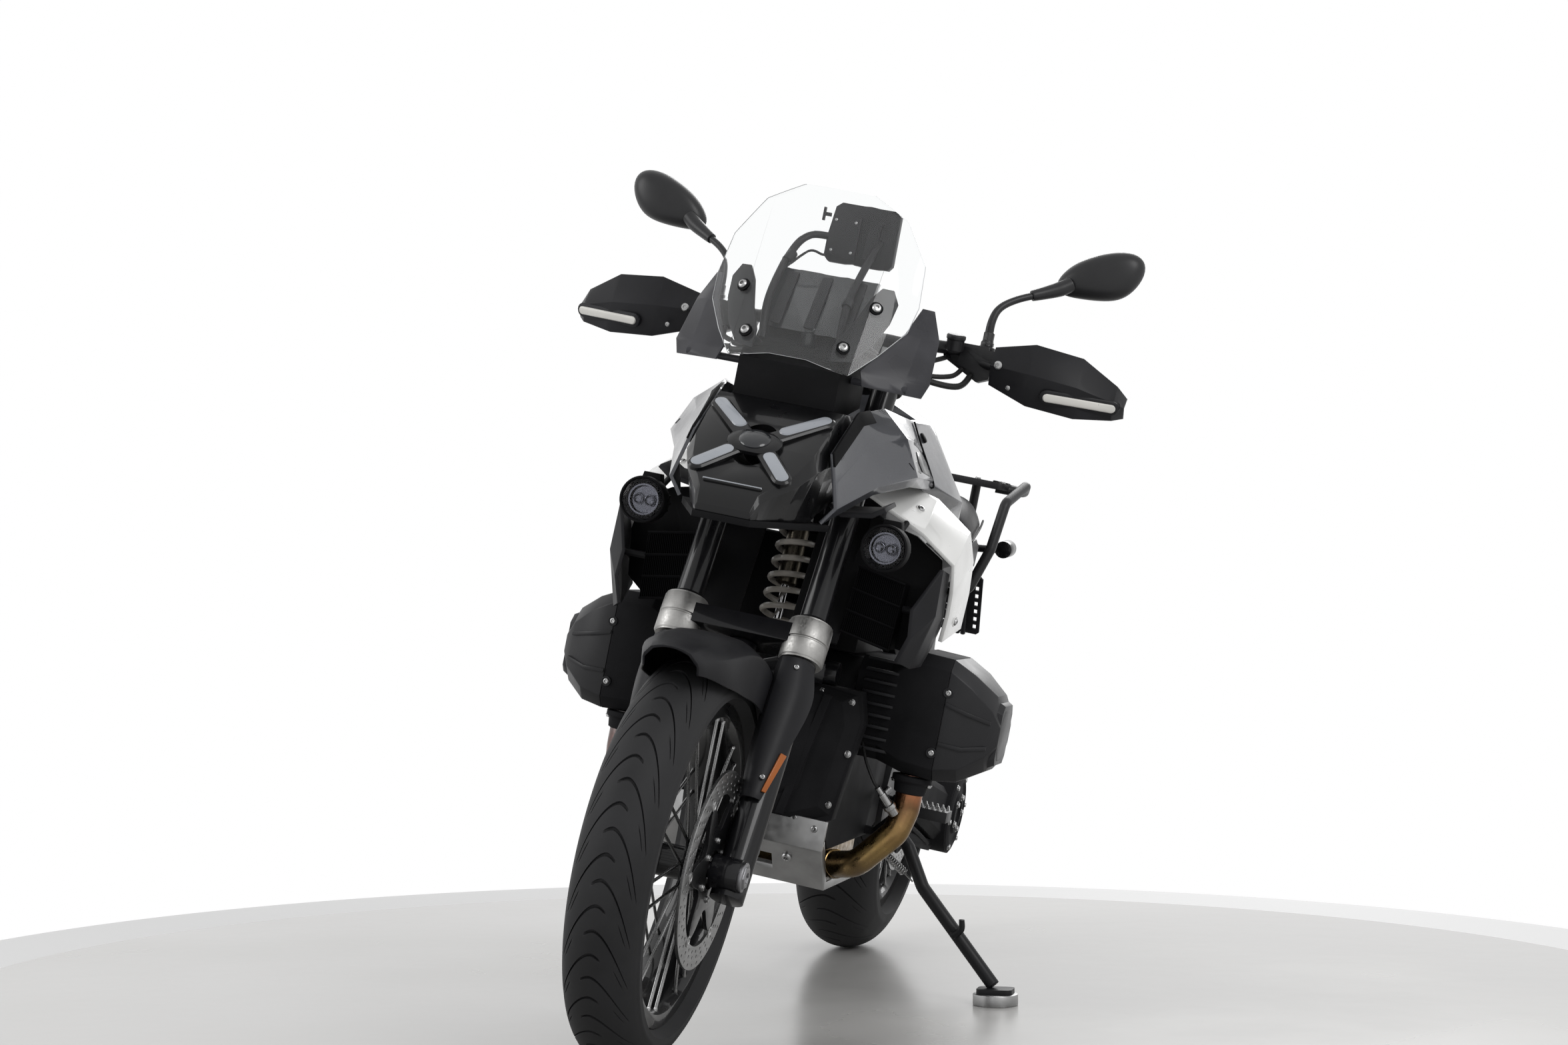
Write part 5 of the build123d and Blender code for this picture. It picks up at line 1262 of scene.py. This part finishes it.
muffler = Shape()
outlet = [(40, -2), (40, 3), (31, 6), (28, 5), (27, -6), (26.5, -20)]
muffler.lathe((-220, 862, 516), (-0.04, 0.99, 0.2), outlet, 40)
for y, x, z, half, tall in [(520, -203, 427, 61, 67), (740, -213, 486, 65, 75)]:
    cut = 0.42
    ring = [(-half * cut, -tall), (half * cut, -tall), (half, -tall * cut), (half, tall * cut)]
    ring += [(-u, -v) for u, v in ring]
    muffler.bridge([[(x + u * 1.015, y + w, z + v * 1.015) for u, v in ring] for w in (0, 14)])
shield = [(-282, 560, 400), (-284, 740, 450), (-286, 750, 500), (-284, 600, 470), (-282, 552, 440)]
muffler.prism(shield, (6, 0, 0), 1)
make("silencer_details", muffler, "silencer", ["silencer_steel", "matt_black"], bevel=0.8)

belly = Shape()
lip = [(-337, 334), (-260, 258), (98, 258), (98, 272), (-256, 272), (-331, 348)]
belly.prism([(147, y, z) for y, z in lip], (3.5, 0, 0))
for y in (-160, -60, 60):
    belly.screw((120, y, 256.6), (0, 0, -1), 6, 1)
belly.screw((130, -338.5, 366), (0, -1, 0), 6, 1)
belly.screw((88, -316, 308), (0, -0.7, -0.7), 9, 1)
make("skid_details", belly.both_sides(), "skid_plate", ["bare_aluminium", "screw_steel"], bevel=0.8)


# --- seats
def seat(name, node, stations):
    """A stitched seat from sections: base, side and top corners, swollen between them."""
    rings = []
    for y, x0, z0, x1, z1, x2, z2 in stations:
        half = [(x0 * 0.9, z0), (x0, z0 + 3), ((x0 + x1) / 2 + 3, (z0 + z1) / 2), (x1, z1 - 4)]
        half += [(x1 - 1, z1 + 4), ((x1 + x2) / 2 + 4, (z1 + z2) / 2 + 5), (x2, z2 - 1)]
        half += [(x2 * 0.55, z2 + 1)]
        other = [(-x, z) for x, z in reversed(half)]
        rings.append([(x, y, z) for x, z in [(0, z0)] + half + [(0, z2 - 2)] + other])
    ends = []
    for ring, further, size in ((rings[0], -3, 0.86), (rings[-1], 3, 0.88)):
        middle = sum(z for _, _, z in ring) / len(ring)
        ends.append([(x * size, y + further, middle + (z - middle) * size) for x, y, z in ring])
    shape = Shape()
    shape.bridge([ends[0]] + rings + [ends[1]])
    finishes = ["seat_cover", "seat_side"]
    piece = make(name, shape, node, finishes, bevel=0, subdivide=2, angle=80, instead=True)
    for polygon in piece.data.polygons:
        if abs(polygon.normal.dot(left)) > 0.72:
            polygon.material_index = 1


RIDER = [
    (119, 80, 830, 92, 880, 50, 914),
    (150, 88, 822, 110, 862, 70, 894),
    (190, 96, 814, 130, 848, 90, 879),
    (245, 106, 803, 150, 838, 110, 869),
    (300, 116, 799.5, 167, 834, 130, 863),
    (335, 116, 805.5, 174, 844, 132, 880),
    (353, 116, 808.5, 175, 850, 130, 891),
]
PILLION = [
    (367, 118, 810.5, 169, 868, 130, 928),
    (420, 118, 819.5, 166, 880, 126, 945),
    (480, 118, 829.5, 159, 892, 120, 954),
    (550, 108, 841.5, 150, 902, 110, 959),
    (617, 100, 852.5, 139, 910, 100, 960),
]
seat("rider_seat_cover", "rider_seat", RIDER)
seat("pillion_seat_cover", "pillion_seat", PILLION)
piping = Shape()
seam = [(94, 121, 884), (113, 152, 868), (133, 191, 855), (170, 300, 842), (178, 352, 858)]
piping.tube(seam, 2.2, 8)
piping.tube([(172, 366, 876), (162, 480, 900), (142, 616, 917)], 2.2, 8)
make("seat_piping", piping.both_sides(), "rider_seat", ["seat_side"], bevel=0)

# --- rear end
tail = Shape()
for x in (52, 40):
    tail.tube([(x, 990, 808), (x + 8, 1050, 742), (x + 10, 1100, 664)], 6, 10)
tail.both_sides()
arm = [(790.4, 800), (790.4, 862), (900, 872), (1010, 820), (1000, 790), (900, 830)]
tail.prism([(-62, y, z) for y, z in arm], (124, 0, 0))
tail.lathe((0, 1076, 810), (0, 0.84, 0.5), [(14, -6), (14, 10), (10, 13), (0.02, 13.4)], 26, 1)
finishes = ["black_plastic", "amber_lens"]
make("tail_arm", tail, "plate_carrier", finishes, bevel=1.6, instead=True)


def slot_hole(u, v, w, h):
    """A rectangle about a place, of a width and a height."""
    u0, u1, v0, v1 = u - w / 2, u + w / 2, v - h / 2, v + h / 2
    return [(u0, v0), (u1, v0), (u1, v1), (u0, v1)]


sizes = [(0, 58, 60, 5), (0, 40, 60, 5), (0, -52, 60, 5)]
sizes += [(u, 10, 5, 26) for u in (-52, 52)]
sizes += [(u, v, 26, 4) for u in (-30, 30) for v in (-10, -26)]
sizes += [(u, v, 8, 12) for u in (-84, 84) for v in range(-56, 45, 20)]
edge = [(-95, -69), (-89, -75), (89, -75), (95, -69), (95, 69), (89, 75), (-89, 75), (-95, 69)]
cut_plate(
    "plate_sheet",
    "plate_carrier",
    "black_plastic",
    [edge] + [slot_hole(*size) for size in sizes],
    3.6,
    lambda u, v, w: (u, 1070 - 0.5486 * v + 0.836 * w, 731 + 0.836 * v + 0.5486 * w),
)

rack_bits = Shape()
for y in (640, 700, 760):
    rack_bits.pill((150, y - 14, 998), (150, y + 14, 998), (0, 0, 1), 6, 3, 1)
for x, y in [(102, 690), (160, 650)]:
    rack_bits.screw((x, y, 998), (0, 0, 1), 6)
finishes = ["screw_steel", "matt_black"]
make("rack_details", rack_bits.both_sides(), "luggage_rack", finishes, bevel=0)

drive = Shape()
cover = [(84, -4), (80, 2), (66, 6), (60, 2), (44, 2), (40, 7), (26, 7), (26, 2)]
drive.lathe((178, *REAR_AXLE[1:]), (1, 0, 0), cover, 56)
for i in range(6):
    drive.bolt(wheel_point(REAR_AXLE, 181, 72, 60 * i + 10), (1, 0, 0), 5.5, 1)
for i in range(5):
    drive.bolt(wheel_point(REAR_AXLE, 184, 34, 72 * i), (1, 0, 0), 6, 1)
drive.tube([(150, 300, 310), (151, 420, 312), (150, 660, 258)], 5, 10)
gaiter = [(30, -20), (40, -16), (34, -8), (42, 0), (36, 8), (43, 16), (40, 22)]
drive.lathe((60, 352, 400), (0, 1, 0.05), gaiter, 32, 2)
finishes = ["engine_dark", "screw_steel", "cable_black"]
make("drive_details", drive, "swingarm", finishes, bevel=0.8)

pegs = Shape()
for i in range(9):
    for y in (174, 218):
        rings = []
        for half, deep, z in ((3.4, 4, 381), (1, 3, 390)):
            corners = slot_hole(168 + i * 10.6, y, 2 * half, 2 * deep)
            rings.append([(u, v, z) for u, v in corners])
        pegs.bridge(rings)
pegs.lathe((204, 54, 398), (1, 0, 0), [(9, -26), (10, -24), (10, 10), (8, 12)], 18, 1)
make("peg_teeth", pegs.both_sides(), "foot_controls", ["screw_steel", "matt_black"], bevel=0)

stand_bits = Shape()
start, end = Vector((150, 74, 318)), Vector((243, 50, 262))
coil_start, coil_end = start.lerp(end, 0.16), start.lerp(end, 0.8)
stand_bits.spring(coil_start, coil_end, 6.5, 1.7, 15)
stand_bits.tube([start, coil_start], 1.8, 8)
stand_bits.tube([coil_end, end], 1.8, 8)
stand_bits.tube([(339, 16, 190), (352, 10, 204), (350, 8, 222)], [7, 6, 5], 12, mark=1)
make("stand_details", stand_bits, "side_stand", ["spoke_steel", "frame_black"], bevel=0.3)

# --- camera, light and floor
CAMERA_PLACE = (1.0415, -4.899, 0.729)
YAW = math.radians(13.87)
LOOK_UP = math.radians(1.44)
LENS = 63.97  # on a 36 mm wide sensor
WHITE = (1.0, 1.0, 1.0, 1.0)
FLOOR_EDGE, RING_EDGE, FIELD_EDGE = 1.62, 1.86, 40.0  # radii in metres


def aim(thing, direction):
    """Turns a camera or lamp to look along a direction."""
    thing.rotation_euler = Vector(direction).to_track_quat("-Z", "Y").to_euler()


def make_camera():
    data = bpy.data.cameras.new("camera")
    data.lens = LENS
    data.sensor_width = 36.0
    camera = placed("camera", data)
    camera.location = CAMERA_PLACE
    level = math.cos(LOOK_UP)
    aim(camera, (-math.sin(YAW) * level, math.cos(YAW) * level, math.sin(LOOK_UP)))
    bpy.context.scene.camera = camera


def seen_plain(tree, lit, plain, output):
    """Shows a plain surface to the camera, to mirrors and through glass; the lit one lights."""
    rays = grow(tree, "LightPath").outputs
    seen = maths(tree, "MAXIMUM", rays["Is Camera Ray"], rays["Is Transmission Ray"])
    either = maths(tree, "MAXIMUM", seen, rays["Is Glossy Ray"])
    mix = grow(tree, "MixShader", Fac=either)
    tree.links.new(lit.outputs[0], mix.inputs[1])
    tree.links.new(plain.outputs[0], mix.inputs[2])
    tree.links.new(mix.outputs[0], tree.nodes[output].inputs["Surface"])


def make_world():
    world = bpy.data.worlds.new("studio")
    bpy.context.scene.world = world
    world.use_nodes = True
    tree = world.node_tree
    light = tree.nodes["Background"]
    feed(tree, light, Color=WHITE, Strength=0.75)
    white = grow(tree, "Background", Color=WHITE, Strength=1.0)
    seen_plain(tree, light, white, "World Output")


def make_lamp(name, place, target, size, watts):
    data = bpy.data.lights.new(name, "AREA")
    data.shape = "DISK"
    data.size = size
    data.energy = watts
    lamp = placed(name, data)
    lamp.location = place
    aim(lamp, Vector(target) - Vector(place))


def make_ground(name, inner, outer, color, roughness):
    """A disc or a ring of the floor, between two radii in metres."""
    steps = 160
    verts = []
    for radius in (inner, outer) if inner else (outer,):
        verts += [(u, v, 0.0) for u, v in circle(radius, steps, -0.12, 0.12)]
    faces = [tuple(range(steps))]
    if inner:
        faces = [(i, steps + i, steps + (i + 1) % steps, (i + 1) % steps) for i in range(steps)]
    mesh = bpy.data.meshes.new(name)
    mesh.from_pydata(verts, [], faces)
    material, tree, principled = shader(name, color, roughness)
    mesh.materials.append(material)
    placed(name, mesh)
    return tree, principled


def make_floor():
    """A pale round floor, with a paler ring and ground around it."""
    color = (0.40, 0.395, 0.385)
    tree, principled = make_ground("floor_disc", 0.0, FLOOR_EDGE, color, 0.24)
    cloud = object_noise(tree, 1.3, 5.0)
    feed(tree, principled, Base_Color=tint(tree, cloud, color, 0.93, 1.07))
    feed(tree, principled, Roughness=spread(tree, cloud, 0.16, 0.3))
    make_ground("floor_ring", FLOOR_EDGE, RING_EDGE, (0.55, 0.55, 0.55), 0.5)
    pale = (0.95, 0.95, 0.95)
    tree, principled = make_ground("floor_field", RING_EDGE, FIELD_EDGE, pale, 0.9)
    glow = grow(tree, "Emission", Strength=1.0)
    seen_plain(tree, principled, glow, "Material Output")


bpy.context.scene.view_settings.view_transform = "Standard"
make_camera()
make_world()
make_lamp("left_lamp", (3.5, -3.0, 3.2), (0, 0, 0.6), size=2.5, watts=90)
make_lamp("right_lamp", (-3.8, -2.2, 2.6), (0, 0, 0.6), size=2.5, watts=60)
make_lamp("rear_lamp", (0.5, 4.5, 3.5), (0, 0, 0.8), size=3.0, watts=120)
make_floor()
